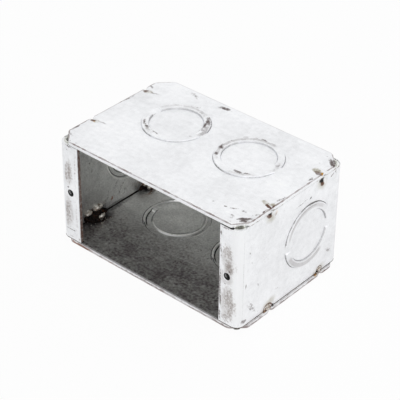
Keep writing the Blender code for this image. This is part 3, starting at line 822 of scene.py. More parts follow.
END_STRAW = [
    (-15.9, 2.4, 20, 0.6, 0.25, 0.5), (-10.9, 46.8, 0, 0.8, 0.8, 0.12), (15.9, 1.9, 20, 0.7, 0.5, 0.5),
]
END_OLIVE = [
    (-14.2, 45.8, -30, 2.2, 1.6, 0.45), (17.2, 45.8, -30, 2.4, 1.9, 0.5), (-13.6, 4.6, 20, 3.2, 1.6, 0.5),
    (18.4, 3.2, 20, 3.0, 1.5, 0.4),
]
END_BRIGHT = [(-15.2, 3.5, -11, 0.7, 0.5, 0.5), (18.9, 46.3, -60, 1.6, 0.7, 0.7)]
FLANGE_WEAR = [
    (41.1, 37.2, -86, 3.4, 1.6, 0.5), (42.8, 36.7, -87, 3.8, 1.3, 0.55), (40.1, 36.1, -85, 1.8, 0.9, 0.4),
    (42.5, 30.0, -86, 2.9, 2.1, 0.7), (42.3, 30.2, -32, 1.5, 1.0, 0.65), (42.4, 14.7, -87, 5.4, 2.0, 0.55),
    (44.2, 14.2, -88, 6.4, 1.2, 0.6), (40.8, 14.2, -87, 3.3, 0.9, 0.45), (41.2, 5.6, -46, 2.2, 2.0, 0.55),
    (43.3, 8.2, -87, 3.8, 1.6, 0.55), (45.7, 11.9, -87, 5.2, 0.6, 0.45), (45.9, 31.3, -86, 2.9, 0.5, 0.4),
    (-43.7, 34.7, -91, 5.4, 0.9, 0.5), (-42.1, 35.4, -92, 5.9, 1.1, 0.6), (-40.8, 36.2, -92, 4.2, 0.6, 0.4),
    (-44.1, 15.0, -92, 7.4, 1.1, 0.55), (-42.8, 15.7, -92, 6.4, 0.9, 0.5),
    (-44.9, 17.0, -91, 3.5, 0.5, 0.45), (-38.7, 37.8, -92, 9.8, 0.5, 0.4),
    (-38.9, 14.4, -91, 8.9, 0.5, 0.4),
]
FLANGE_STAIN = [
    (41.7, 33.2, -88, 5.8, 3.2, 0.6), (42.3, 29.0, -88, 3.4, 2.6, 0.7), (41.9, 12.6, -88, 8.4, 3.5, 0.6),
    (43.2, 14.0, -88, 6.8, 1.9, 0.6), (41.2, 24.6, -88, 3.8, 3.4, 0.6), (-42.6, 34.8, -91, 5.8, 2.2, 0.55),
    (-43.0, 15.4, -91, 7.8, 2.4, 0.55),
]
FLANGE_GRIME = [
    (-42.6, 7.0, 1, 2.8, 0.2, 0.8), (-43.0, 27.9, -3, 0.7, 0.5, 0.6), (-41.6, 47.8, -8, 2.1, 0.5, 0.6),
    (-43.1, 46.2, -46, 0.7, 0.4, 0.6), (38.5, 44.3, -85, 1.1, 0.4, 1.0), (38.4, 37.1, -87, 4.5, 0.3, 0.6),
    (38.35, 20.0, -88, 8.0, 0.3, 0.9), (38.5, 13.6, -87, 3.3, 0.45, 0.95), (38.5, 5.7, -86, 3.0, 0.4, 0.7),
    (41.2, 47.4, 10, 2.2, 0.5, 0.55), (41.2, 23.9, -37, 0.5, 0.5, 0.7), (40.8, 21.4, -23, 0.5, 0.6, 0.6),
    (42.9, 28.2, 60, 0.5, 0.4, 1.0), (-42.4, 3.4, 0, 1.4, 0.3, 0.5), (-37.9, 3.6, 90, 1.0, 0.3, 0.6),
]
# Painted highlight on the left and lower rim of each screw hole.
HOLE_RIM_HIGHLIGHTS = around(SCREW_HOLES, [(1.82, 145, 285, 0.24, 1.0)])
# Painted highlight on the lit wall inside each screw hole.
HOLE_WALL_HIGHLIGHTS = [(x - 1.3, z - 0.55, 110, 1.0, 0.6, 0.9) for x, z in SCREW_HOLES]
# Painted shade: each hole's walls painted nearly black.
HOLE_WALL_SHADE = around(SCREW_HOLES, [(0, 1.6, 1.6, 0.9)])
FLANGE_BRIGHT = [(-42.6, 16.5, -54, 1.0, 0.3, 0.6), (40.0, 28.0, 85, 2.0, 0.3, 0.4)]
BACK_CRACKS = around(BACK_KNOCKOUTS, [
    (14.3, 20, 170, 0.26, 0.7), (14.3, 190, 310, 0.26, 0.35), (11.3, 200, 340, 0.26, 0.6),
    (11.3, 10, 130, 0.26, 0.3),
])
BACK_GRIME = [
    (-31.0, 38.0, 20, 3.0, 0.7, 0.4), (4.0, 12.0, -35, 4.0, 0.5, 0.4), (37.0, 9.0, 60, 2.5, 1.0, 0.4),
    (0.0, 41.0, 5, 5.0, 0.8, 0.3), (12.0, 44.0, 12, 2.0, 0.5, 0.5),
]
print(len(END_BROWN) + len(END_BLACK), "burns at the right end")

# %% [markdown]
# ### The inside
#
# Inside, the zinc is streaked, and painted shade darkens it. Soot spreads over both sheets
# round each of the eight welds, the cracks of the floor's knockouts show as painted
# highlights and as dark lines of soot and painted shade, and the left flange's sheared
# edge has rusted to a red-brown band.

# %% Inside: rows of marks
# Painted highlights: bright arcs along the edges of the floor's rings and discs.
FLOOR_CRACK_HIGHLIGHTS = around(FLOOR_RINGS, [(14.2, 184, 226, 0.34, 0.95), (14.0, 115, 176, 0.45, 0.35)])
FLOOR_CRACK_HIGHLIGHTS += around(FLOOR_DISCS, [
    (11.3, -125, -100, 0.24, 0.7), (11.5, -100, -22, 0.52, 0.9), (11.3, -22, 78, 0.26, 0.75),
])
# Painted highlights: small bright spots and a streak by the floor's knockouts.
FLOOR_HIGHLIGHT_MARKS = [
    (-31.4, 7.2, 0, 1.4, 0.45, 0.8), (-6.5, 8.6, 0, 0.4, 0.4, 0.5), (-12.6, 6.0, 60, 3.2, 0.18, 0.35),
]
# Dark lines along the floor's cracks: soot, and painted shade along the crack walls.
FLOOR_CRACK_SOOT_AND_SHADE = around(FLOOR_DISCS, [(12.2, -25, 8, 0.18, 0.6)]) + around(FLOOR_RINGS, [
    (13.45, 186, 236, 0.28, 0.95), (14.95, 180, 236, 0.16, 0.85), (14.3, 222, 272, 0.26, 0.9),
    (11.0, 182, 228, 0.34, 0.6), (14.2, 16, 52, 0.16, 0.5), (11.3, -34, 4, 0.24, 0.7),
    (14.9, 125, 176, 0.2, 0.5), (10.5, -118, -20, 0.22, 0.5), (11.6, 110, 150, 0.16, 0.4),
])
# Painted highlight: a bright arc along the wall knockout's crack.
WALL_CRACK_HIGHLIGHT = around([LEFT_INSIDE], [(14.1, 180, 268, 0.28, 0.6)])
# Dark lines along the wall knockout's cracks: soot and painted shade.
WALL_CRACK_SOOT_AND_SHADE = around([LEFT_INSIDE], [(13.35, 182, 262, 0.22, 0.7), (11.4, 200, 255, 0.2, 0.6)])
FLOOR_GRIME = [
    (-34.3, -27.1, 42, 0.5, 0.4, 1.0), (-33.9, -23.9, 42, 0.5, 0.4, 1.0), (-24.0, -22.0, 20, 3.0, 1.6, 0.4),
    (-8.0, -20.0, -10, 5.0, 2.0, 0.4), (12.0, -24.0, 5, 5.0, 1.6, 0.4), (28.0, -26.0, 0, 5.0, 1.4, 0.4),
    (-36.0, -8.0, 70, 3.0, 1.2, 0.5), (22.0, -12.0, 15, 4.0, 1.0, 0.4), (2.0, -14.0, 4, 6.0, 0.6, 0.45),
    (5.0, -2.5, 8, 12.0, 4.6, 0.3),
]
FLOOR_SCRATCHES = [
    (2.0, -12.0, 6, 17.2, 0.13, 0.4), (20.0, -20.0, -4, 12.0, 0.10, 0.3),
    (-12.0, -18.0, 10, 9.0, 0.10, 0.3), (18.0, -13.5, 8, 16.0, 0.10, 0.3),
    (-20.0, -14.0, 30, 6.0, 0.10, 0.3),
]
FLOOR_SOOT = both_sides([
    (43.4, -14.6, 90, 7.2, 2.9, 1.0), (44.6, -3.5, 88, 9.0, 1.0, 0.55), (40.6, -13.5, 120, 2.8, 1.6, 0.35),
    (43.8, 17.4, 90, 5.2, 2.2, 0.95), (42.0, 15.5, 70, 3.0, 1.6, 0.5), (45.0, -23.0, 90, 5.0, 1.0, 0.6),
])
# Soot on a wall: along it, away from the plate, turn, half length, half width, strength.
SOOT_ROWS = [
    (-14.6, 2.4, 0, 7.4, 2.6, 1.0), (-4.0, 0.8, 0, 9.0, 0.9, 0.6), (-9.0, 4.2, 35, 3.2, 1.0, 0.5),
    (17.4, 1.6, 0, 5.0, 1.8, 0.95), (13.5, 3.0, 0, 2.6, 1.4, 0.45), (-20.0, 2.6, 0, 3.6, 1.6, 0.6),
]
WALL_SOOT = [(y, plate / MM + way * up, way * turn, *rest)
             for plate, way in ((FLOOR_FACE, 1), (CEILING_FACE, -1)) for y, up, turn, *rest in SOOT_ROWS]
FLOOR_RIM = both_sides([(41.6, y, 90, 5.0, 1.1, 0.55) for y in (FRONT_WELD, BACK_WELD)])
WALL_RIM = [(y + 1.0, z, 0, 5.4, 1.2, 0.6) for z in (6.6, 44.0) for y in (FRONT_WELD, BACK_WELD)]
WALL_RIM += [(-4.0, 6.4, 20, 1.3, 0.7, 0.8)]
WALL_GRIME = [
    (-16.6, 30.1, -26, 0.35, 0.3, 1.0), (-15.6, 26.1, -93, 1.9, 0.3, 0.5), (-2.0, 12.0, 60, 3.0, 0.8, 0.38),
    (1.5, 9.0, 55, 3.6, 0.9, 0.38), (-6.0, 10.0, 70, 2.6, 0.8, 0.36), (4.0, 7.0, 40, 2.6, 1.0, 0.4),
]
# Painted shade low on the bottom plate's edge, at the right end and the front.
PLATE_EDGE_SHADE = [(0.0, 1.5, 0, 90.0, 1.0, 0.6)]
PLATE_EDGE_RUST = [(-38.5, 1.1, 0, 7.5, 0.6, 0.9), (-20.0, 0.9, 0, 5.0, 0.3, 0.5)]
FLANGE_EDGE = [(-31.2, 25.2, 90, 60.0, 0.85, 0.75)]
# Painted highlight: a thin bright line along the left flange's cut edge.
FLANGE_EDGE_HIGHLIGHT = [(-37.35, 25.2, 90, 60.0, 0.16, 0.7)]
print(len(FLOOR_SOOT) + 2 * len(WALL_SOOT), "patches of soot")

# %% [markdown]
# Now the layers go on. Marks at an end lie on the strip and on both plates' edges, so
# each sheet takes only the rows near it. The soft layers come first and the burns last.

# %% Layers that sheets share
def end_layers(low, high):
    """The right end's layers, for a sheet that spans these heights in millimetres."""
    def near(rows, reach=2.5):
        return {"right_end": [row for row in rows if low - reach < row[1] < high + reach]}

    return [
        layer(OLIVE, near(END_OLIVE), softness=0.9),
        layer(BURN_BROWN, near(END_BROWN), broken=0.25),
        layer(BURN_BROWN, near(END_OUTLINES), kind=arcs, wander="fine", broken=0.1),
        layer(STRAW, near(END_STRAW)),
        layer(SOOT_AND_SHADE, near(END_BLACK), roughness=0.5),
        layer(BRIGHT, near(END_BRIGHT), metallic=0.6, roughness=0.4),
    ]


def arris(face, overhang, cut, front_right, width, strength):
    """One bare line round a plate, for make_sheet_material."""
    return strength, {
        "Half Length": RIGHT + overhang * MM, "Cut": cut * MM, "Front Right Cut X": front_right[0] * MM,
        "Front Right Cut Y": front_right[1] * MM, "Face": face, "Width": width * MM,
    }


print(len(end_layers(0.6, 2.2)), "layers at the right end")

# %% Layers of the top plate
top_arrises = [arris(TOPSIDE, 0.0, 6.0, (4.4, 5.8), 0.42, 0.85)]
top_layers = [
    layer(GRIME_AND_SHADE, {"top": TOP_BANDS}, kind=arcs, broken=0.2, cover=0.8),
    layer(GRIME_AND_SHADE, {"top": TOP_GRIME}, broken=0.45, cover=0.95, softness=0.7),
    layer(CRACK_DIRT_AND_SHADE, {"top": TOP_CRACK_DIRT_AND_SHADE}, kind=arcs, wander="fine", broken=0.1),
    layer(OLIVE, {"top": TOP_OLIVE}, broken=0.3),
    layer(BURN_BROWN, {"top": TOP_BROWN}, broken=0.2),
    layer(STRAW, {"top": TOP_STRAW}),
    layer(BRIGHT, {"top": TOP_BRIGHT}, metallic=0.6, roughness=0.4),
    *end_layers(48.5, 50.1),
]
print(len(top_layers), "layers on the top plate")

# %% Layers of the strip
strip_grime = {
    "front": FLANGE_GRIME, "right_end": END_GRIME, "back": BACK_GRIME, "inside_left": WALL_GRIME,
}
strip_crack_dirt_and_shade = {"right_end": END_CRACK_DIRT_AND_SHADE, "left_end": LEFT_END_CRACK_DIRT_AND_SHADE, "back": BACK_CRACKS}
strip_layers = [
    layer(BRIGHT, {"front": BEND_HIGHLIGHT}, wander="none", depth=4.2, softness=0.5, metallic=0.55,
          roughness=0.5),
    layer(WEAR, {"front": FLANGE_STAIN}, softness=0.35, broken=0.25, cover=0.4),
    layer(WEAR, {"front": FLANGE_WEAR}, softness=0.8, broken=0.5, cover=0.64),
    layer(GRIME_AND_SHADE, strip_grime, softness=0.6, broken=0.6, cover=0.8),
    layer(GRIME_AND_SHADE, {"right_end": END_LOWER_SHADE}, wander="none", softness=0.9),
    layer(GRIME_AND_SHADE, {"right_end": END_BEND_SHADE_LINE}, wander="fine", softness=0.8, cover=0.5, broken=0.3),
    layer(CRACK_DIRT_AND_SHADE, strip_crack_dirt_and_shade, kind=arcs, wander="fine", broken=0.1),
    layer(GRIME_AND_SHADE, {"right_end": END_BANDS}, kind=arcs, wander="fine"),
    layer(BRIGHT, {"right_end": END_RING_HIGHLIGHTS}, kind=arcs, wander="none", metallic=0.3, roughness=0.4),
    layer(RUST, dict.fromkeys(("inside_left", "inside_right"), WALL_RIM), softness=0.85, broken=0.9,
          cover=0.7),
    layer(SOOT_AND_SHADE, dict.fromkeys(("inside_left", "inside_right"), WALL_SOOT), softness=0.9, broken=0.2,
          cover=0.97, metallic=0.0, roughness=0.9),
    layer(SOOT_AND_SHADE, {"inside_left": WALL_CRACK_SOOT_AND_SHADE}, kind=arcs, wander="fine"),
    layer(BRIGHT, {"inside_left": WALL_CRACK_HIGHLIGHT}, kind=arcs, wander="fine", metallic=0.0, roughness=0.4),
    layer(BRIGHT, {"front": HOLE_RIM_HIGHLIGHTS}, kind=arcs, wander="none", metallic=0.4, roughness=0.4),
    layer(SOOT_AND_SHADE, {"front": HOLE_WALL_SHADE}, wander="none", depth=12.0, softness=0.03),
    layer(BRIGHT, {"in_the_hole": HOLE_WALL_HIGHLIGHTS}, wander="none", depth=0.45, roughness=0.4),
    layer(BURN_BROWN, {"left_flange_edge": FLANGE_EDGE}, wander="fine", depth=0.15, broken=0.4),
    layer(BRIGHT, {"front": FLANGE_BRIGHT + FLANGE_EDGE_HIGHLIGHT}, wander="fine", metallic=0.6, roughness=0.4),
    *end_layers(2.5, 48.2),
]
print(len(strip_layers), "layers on the strip")

# %% Layers of the bottom plate
bottom_arrises = [
    arris(UNDERSIDE, 0.6, 5.5, (5.5, 5.5), 0.95, 0.8), arris(FLOOR_FACE, 0.6, 5.5, (5.5, 5.5), 0.30, 0.5),
]
bottom_layers = [
    layer(GRIME_AND_SHADE, {"inside_floor": FLOOR_GRIME}, softness=0.9, broken=0.9, cover=0.6),
    layer(BRIGHT, {"inside_floor": FLOOR_SCRATCHES}, wander="none", metallic=0.8, roughness=0.4),
    layer(RUST, {"inside_floor": FLOOR_RIM}, softness=0.85, broken=0.9, cover=0.7),
    layer(SOOT_AND_SHADE, {"inside_floor": FLOOR_SOOT}, softness=0.8, broken=0.2, cover=0.97, metallic=0.0,
          roughness=0.9),
    layer(SOOT_AND_SHADE, {"inside_floor": FLOOR_CRACK_SOOT_AND_SHADE}, kind=arcs, wander="fine"),
    layer(BRIGHT, {"inside_floor": FLOOR_CRACK_HIGHLIGHTS}, kind=arcs, wander="fine", metallic=0.0, roughness=0.4),
    layer(BRIGHT, {"inside_floor": FLOOR_HIGHLIGHT_MARKS}, wander="fine", metallic=0.0, roughness=0.4),
    layer(GRIME_AND_SHADE, dict.fromkeys(("right_end", "front"), PLATE_EDGE_SHADE), softness=0.4, broken=0.3,
          cover=0.18),
    layer(RUST, {"front": PLATE_EDGE_RUST}, softness=0.8, broken=0.6, cover=0.6),
    *end_layers(0.6, 2.2),
]
print(len(bottom_layers), "layers on the bottom plate")

# %% Three sheets, three materials
for node, name, arrises, layers in (
        ("top_plate", "top_plate_zinc", top_arrises, top_layers),
        ("wrap_strip", "strip_zinc", [], strip_layers),
        ("bottom_plate", "bottom_plate_zinc", bottom_arrises, bottom_layers)):
    material = make_sheet_material(name, arrises, layers)
    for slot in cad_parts[node].material_slots:
        slot.material = material
    print(material.name, len(material.node_tree.nodes), "nodes")

# %% [markdown]
# ## Weld metal
#
# Each tack weld is a dark, sooty body with a few bright nuggets on it, which froze last.
# Both are lumpy metal with three tones in it, spread by noise. So are the
# fillings of the seams, the webs, the burrs and the threads further down, and one function
# makes all ten materials from a table.

# %% Weld materials
# Each row has a low, a middle and a high tone, a roughness and a metallic share.
METALS = {
    "burnt_weld": ((8, 6, 6), (22, 15, 13), (64, 40, 26), 0.7, 0.1),
    "bright_weld": ((104, 66, 40), (182, 176, 166), (232, 230, 224), 0.35, 0.5),
    # Seam soot, dark also as painted shade in the seams and in the gap over the right flange.
    "seam_soot_and_shade": ((14, 12, 12), (26, 22, 20), (52, 42, 34), 0.8, 0.2),
    "seam_zinc": ((150, 134, 118), (226, 226, 226), (240, 241, 243), 0.45, 0.7),
    # Dark oily steel, painted darker still as shade inside the screw holes.
    "thread_steel_and_shade": ((9, 7, 6), (18, 13, 11), (84, 76, 70), 0.5, 0.3),
    "web_zinc": ((176, 174, 160), (214, 215, 208), (238, 238, 234), 0.5, 0.4),
    "outer_weld": ((120, 92, 66), (196, 188, 180), (226, 222, 218), 0.4, 0.5),
    # Stain along the outer bottom seam, dark also as painted shade in the gap.
    "outer_seam_stain_and_shade": ((52, 42, 34), (92, 84, 76), (140, 130, 118), 0.7, 0.2),
    # Near-white with no metallic share: a painted highlight on the burrs.
    "burr_highlight_zinc": ((226, 226, 220), (248, 248, 244), (254, 254, 252), 0.35, 0.0),
    # Dirt, and painted shade in the opening under the front right corner.
    "web_dirt_and_shade": ((46, 34, 22), (104, 104, 96), (150, 150, 140), 0.7, 0.2),
}


def make_metal(name, low, middle, high, roughness, metallic):
    material, tree, shader, position = new_material(name)
    cloud = noise(tree, position, 700.0, 3.0)
    fine = noise(tree, position, 2600.0)
    mixed = sums(tree, "MULTIPLY_ADD", fine, 0.35, sums(tree, "MULTIPLY", cloud, 0.65))
    colour = blend(tree, ramp(tree, mixed, 0.36, 0.50), paint(*low), paint(*middle))
    colour = blend(tree, ramp(tree, mixed, 0.50, 0.62), colour, paint(*high))
    fill(tree, shader, {
        "Base Color": colour, "Metallic": metallic, "Specular IOR Level": 0.2,
        "Roughness": ramp(tree, fine, 0.3, 0.7, roughness + 0.1, roughness - 0.1),
        "Normal": bumps(tree, fine, 0.4, 0.08),
    })
    return material


METAL = {name: make_metal(name, *row) for name, row in METALS.items()}
print(len(METAL), "materials")

# %% [markdown]
# ## Pieces that grow from nodes
#
# Geometry Nodes suit what follows a rule: lumps of weld metal, droplets thrown by the
# arc, the filling of a seam, a screw thread. Each tree gets named inputs for its sizes.
# The `grow` helper runs a tree on a small seed mesh, keeps the result as a plain mesh and
# throws the seed and its modifier away, so the finished piece is ordinary geometry.

# %% Geometry Nodes helpers
def grow_tree(name, inputs):
    """A new Geometry Nodes tree with its named inputs."""
    inputs = {"Geometry": ["Geometry"], **inputs, "Material": ["Material"]}
    return new_group(name, inputs, {"Geometry": ["Geometry"]}, "GeometryNodeTree")


def step(tree, kind, inputs=None, **settings):
    """One step of a Geometry Nodes tree, as its first output."""
    return add_node(tree, "GeometryNode" + kind, inputs, **settings).outputs[0]


def join(tree, *parts):
    """Several geometries as one."""
    made = tree.nodes.new("GeometryNodeJoinGeometry")
    for part in parts:
        tree.links.new(part, made.inputs[0])
    return made.outputs[0]


def attribute(tree, name, kind):
    """A value that the seed mesh has at each of its points."""
    return step(tree, "InputNamedAttribute", {"Name": name}, data_type=kind)


def end_tree(tree, given, result, geometry):
    """Smooth, realize and paint the result."""
    smooth = step(tree, "SetShadeSmooth", {"Geometry": geometry})
    real = step(tree, "RealizeInstances", {"Geometry": smooth})
    painted = step(tree, "SetMaterial", {"Geometry": real, "Material": given["Material"]})
    tree.links.new(painted, result[0])


def grow(name, tree, values, seed_mesh):
    """Run a tree on a seed mesh and keep the result as a plain piece of the box."""
    host = bpy.data.objects.new(name + "_seed", seed_mesh)
    bpy.context.scene.collection.objects.link(host)
    modifier = host.modifiers.new("grow", "NODES")
    modifier.node_group = tree
    for item in tree.interface.items_tree:
        if item.in_out == "INPUT" and item.name in values:
            modifier[item.identifier] = values[item.name]
    grown = host.evaluated_get(bpy.context.evaluated_depsgraph_get())
    mesh = bpy.data.meshes.new_from_object(grown)
    mesh.name = name
    outwards = bmesh.new()
    outwards.from_mesh(mesh)
    bmesh.ops.recalc_face_normals(outwards, faces=outwards.faces)
    outwards.to_mesh(mesh)
    outwards.free()
    bpy.data.objects.remove(host, do_unlink=True)
    piece = bpy.data.objects.new(name, mesh)
    bpy.context.scene.collection.objects.link(piece)
    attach(piece, "root")
    print(name, len(mesh.polygons), "faces")
    return piece


def seed_points(name, points, radii=None, edges=0):
    """A mesh of points, with a radius for each, or with that many edges from each to the next."""
    mesh = bpy.data.meshes.new(name)
    mesh.from_pydata(points, [(i, (i + 1) % len(points)) for i in range(edges)], [])
    if radii:
        mesh.attributes.new("blob", "FLOAT", "POINT").data.foreach_set("value", radii)
    return mesh


print("helpers ready")

# %% [markdown]
# ### Weld beads
#
# Molten metal is a heap of drops that ran together. The tree turns each seed point into a
# ball of fog of its own radius, wraps one skin round all of them, and pushes the skin in
# and out with noise. It works in millimetres, because fog this fine needs them, and
# shrinks the result to metres at the end.

# %% Tree: molten lumps
FOG_EDGE = 0.3  # the fog's density where its skin lies


def make_lumps_tree():
    inputs = {"Float": ["Voxel", "Lumpiness", "Lump Scale"]}
    tree, given, result = grow_tree("molten_lumps", inputs)
    blob = attribute(tree, "blob", "FLOAT")
    points = step(tree, "MeshToPoints", {"Mesh": given["Geometry"], "Radius": blob})
    fog = step(tree, "PointsToVolume", {"Points": points, "Voxel Size": given["Voxel"], "Radius": blob},
               resolution_mode="VOXEL_SIZE")
    skin = step(tree, "VolumeToMesh", {"Volume": fog, "Threshold": FOG_EDGE})
    cloud = swing(tree, step(tree, "InputPosition"), given["Lump Scale"], 1.5)
    push = sums(tree, "MULTIPLY", cloud, given["Lumpiness"])
    offset = vector_node(tree, "SCALE", step(tree, "InputNormal"), scale=push)
    moved = step(tree, "SetPosition", {"Geometry": skin, "Offset": offset})
    small = step(tree, "Transform", {"Geometry": moved, "Scale": (MM, MM, MM)})
    end_tree(tree, given, result, small)
    return tree


lumps_tree = make_lumps_tree()
print(lumps_tree.name, len(lumps_tree.nodes), "nodes")

# %% [markdown]
# A weld's seed points are rows of four numbers in millimetres: along the corner, out from
# the end, up from the plate, and a radius. The front left one inside shows best, so its
# rows follow the photograph. The others are plainer.

# %% Eight welds
LEFT_FRONT_BODY = [
    (-5.6, 0.5, 2.2, 1.3), (-4.2, 0.9, 1.7, 1.6), (-2.6, 1.1, 1.9, 1.7), (-0.8, 1.0, 2.2, 1.8),
    (1.0, 0.8, 2.4, 1.8), (2.8, 0.8, 1.8, 1.6), (4.4, 0.6, 1.2, 1.4), (5.8, 0.4, 0.7, 1.0),
    (-3.4, 2.2, 0.5, 1.2), (-1.2, 2.4, 0.4, 1.1),
]
LEFT_FRONT_NUGGETS = [
    (-5.0, 0.3, 4.0, 1.1), (-3.9, 0.4, 4.5, 1.35), (-3.0, 0.5, 4.0, 1.0), (0.0, 0.3, 4.1, 1.2),
    (1.3, 0.4, 4.7, 1.6), (2.7, 0.3, 4.6, 1.3), (0.4, 1.9, 0.7, 0.9), (1.6, 2.2, 0.9, 1.3),
    (2.8, 2.0, 0.9, 1.0),
]
LEFT_BACK_BODY = [
    (-3.8, 0.5, 0.8, 1.1), (-2.4, 0.7, 1.1, 1.3), (-0.8, 0.8, 1.3, 1.4), (0.8, 0.8, 1.2, 1.4),
    (2.4, 0.7, 1.0, 1.2), (3.8, 0.4, 0.6, 1.0),
]
LEFT_BACK_NUGGETS = [
    (-2.2, 1.0, 2.5, 1.2), (-1.1, 1.1, 2.9, 1.1), (-1.0, 2.6, 1.0, 1.2), (0.3, 2.9, 1.0, 1.3),
]
PLAIN_BODY = [
    (-3.6, 0.5, 0.6, 1.1), (-2.2, 0.8, 1.0, 1.4), (-0.6, 1.0, 1.1, 1.5), (1.0, 0.9, 1.2, 1.5),
    (2.6, 0.7, 0.8, 1.3), (3.9, 0.4, 0.5, 1.0),
]
PLAIN_NUGGETS = [(-1.2, 1.5, 1.6, 0.9), (-0.2, 1.6, 1.4, 1.0), (1.8, 1.2, 1.7, 0.9)]
LEFT_WELDS = {
    "front": (LEFT_FRONT_BODY, LEFT_FRONT_NUGGETS),
    "back": (LEFT_BACK_BODY, LEFT_BACK_NUGGETS),
}


def grow_lumps(name, points, radii, metal, voxel, lumpiness, scale):
    """Grow lumps from points, radii and a voxel size in millimetres."""
    values = {"Voxel": voxel, "Lumpiness": lumpiness, "Lump Scale": scale, "Material": METAL[metal]}
    return grow(name, lumps_tree, values, seed_points("seeds", points, radii))


def make_weld(level, end, place, body, nuggets):
    """The body and the nuggets of one weld, from rows measured from a corner inside."""
    side = 1 if end == "right" else -1
    upwards, plate = (1, FLOOR_FACE) if level == "bottom" else (-1, CEILING_FACE)
    plate, wall = plate / MM, side * (RIGHT - SHEET) / MM
    middle = FRONT_WELD if place == "front" else BACK_WELD
    for name, rows, metal, lumpiness in (
            ("weld", body, "burnt_weld", 0.9), ("nuggets", nuggets, "bright_weld", 0.25)):
        points = [(wall - side * out, middle + along, plate + upwards * up) for along, out, up, _ in rows]
        radii = [row[3] for row in rows]
        piece = grow_lumps(f"{name}_{level}_{end}_{place}", points, radii, metal, voxel=0.22,
                           lumpiness=lumpiness, scale=1.1)
        if name == "weld":
            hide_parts(f"weld_bead_{level}_{end}_{place}")


for level in ("bottom", "top"):
    for end in ("left", "right"):
        for place in ("front", "back"):
            shown = (level, end) == ("bottom", "left")
            body, nuggets = LEFT_WELDS[place] if shown else (PLAIN_BODY, PLAIN_NUGGETS)
            make_weld(level, end, place, body, nuggets)

# %% [markdown]
# The two welds at the foot of the right end also broke through to the outside, where they
# froze as a low arch and a small ring. They use the same tree, with rows of their own.

# %% Lumps outside
OUTSIDE_LUMPS = {
    "arch": [(-15.6, 1.9, 0.5), (-15.2, 2.9, 0.5), (-14.4, 3.5, 0.55), (-13.4, 3.6, 0.55), (-12.6, 3.0, 0.5),
             (-14.4, 2.3, 0.7), (-13.4, 2.2, 0.7), (-12.4, 1.9, 0.5)],
    "ring": [(18.2, 3.3, 0.5), (18.9, 3.8, 0.5), (19.4, 3.2, 0.5), (18.8, 2.8, 0.6), (16.2, 1.7, 0.5),
             (17.4, 1.9, 0.6)],
}
SUNK_IN = 0.05
for name, rows in OUTSIDE_LUMPS.items():
    points = [(RIGHT / MM - SUNK_IN, y, z) for y, z, _ in rows]
    radii = [row[2] for row in rows]
    grow_lumps(f"lump_{name}", points, radii, "outer_weld", voxel=0.12, lumpiness=0.3, scale=1.6)

# %% [markdown]
# ### Filled seams
#
# Between the strip and each plate is a seam of a third of a millimetre. Soot and flux
# fill it from the inside, so no light comes through, and molten zinc bridged it flush
# along the ends of the top plate. The dark fillings along the floor inside and along the
# foot outside are also painted shade in the seam. At the front right the filling is dirt
# with painted shade, and a dark sweep over the flange is a painted shadow in the gap
# under the top plate. A filling follows the strip's own path round the box, so the tree
# sweeps a small round section along a curve, and noise makes its thickness uneven.

# %% Tree: seam filling
def make_seam_tree():
    inputs = {"Float": ["Spacing", "Thickness", "Unevenness"]}
    tree, given, result = grow_tree("seam_filling", inputs)
    curve = step(tree, "MeshToCurve", {"Mesh": given["Geometry"]})
    even = step(tree, "ResampleCurve", {"Curve": curve, "Length": given["Spacing"]}, mode="LENGTH")
    cloud = swing(tree, step(tree, "InputPosition"), 600.0)
    thickness = sums(tree, "MULTIPLY_ADD", cloud, given["Unevenness"], 1.0)
    section = step(tree, "CurvePrimitiveCircle", {"Resolution": 8, "Radius": given["Thickness"]})
    swept = step(tree, "CurveToMesh", {
        "Curve": even, "Profile Curve": section, "Scale": thickness, "Fill Caps": True,
    })
    end_tree(tree, given, result, swept)
    return tree


seam_tree = make_seam_tree()
print(seam_tree.name, len(seam_tree.nodes), "nodes")

# %% The strip's path
BEND_STEPS = 8


def bend_arc(side_x, side_y, depth):
    """One bend seen from above, at a depth under the outer face, from the end of the box on."""
    edge, radius = (FRONT, BEND) if side_y < 0 else (BACK, BACK_BEND)
    centre = Vector((side_x * (RIGHT - radius), edge - side_y * radius))
    across, along = side_x * (radius - depth), side_y * (radius - depth)
    turns = [math.pi / 2 * i / BEND_STEPS for i in range(BEND_STEPS + 1)]
    return [(centre.x + across * math.cos(turn), centre.y + along * math.sin(turn)) for turn in turns]


def strip_plan(depth, first_y=None):
    """The strip's path seen from above, at a depth under its outer face, in metres.

    With first_y it starts and ends on the two ends of the box, that far along them.
    Without, it starts and ends at the tips of the flanges.
    """
    round_the_back = bend_arc(-1, 1, depth) + bend_arc(1, 1, depth)[::-1]
    if first_y is not None:
        return [(depth - RIGHT, first_y), *round_the_back, (RIGHT - depth, first_y)]
    front = FRONT + depth
    left = [(LEFT_FLANGE - RIGHT, front), *bend_arc(-1, -1, depth)[::-1]]
    return left + round_the_back + bend_arc(1, -1, depth) + [(RIGHT - RIGHT_FLANGE, front)]


print(len(strip_plan(0.0)), "points from flange to flange")


# %% Six seams
def sweep(name, path, thickness, metal, unevenness=1.1):
    """Sweep a round section, with a radius in millimetres, along a path in metres."""
    values = {
        "Spacing": 0.5 * MM, "Thickness": thickness * MM, "Unevenness": unevenness, "Material": METAL[metal],
    }
    grow(name, seam_tree, values, seed_points("path", path, edges=len(path) - 1))


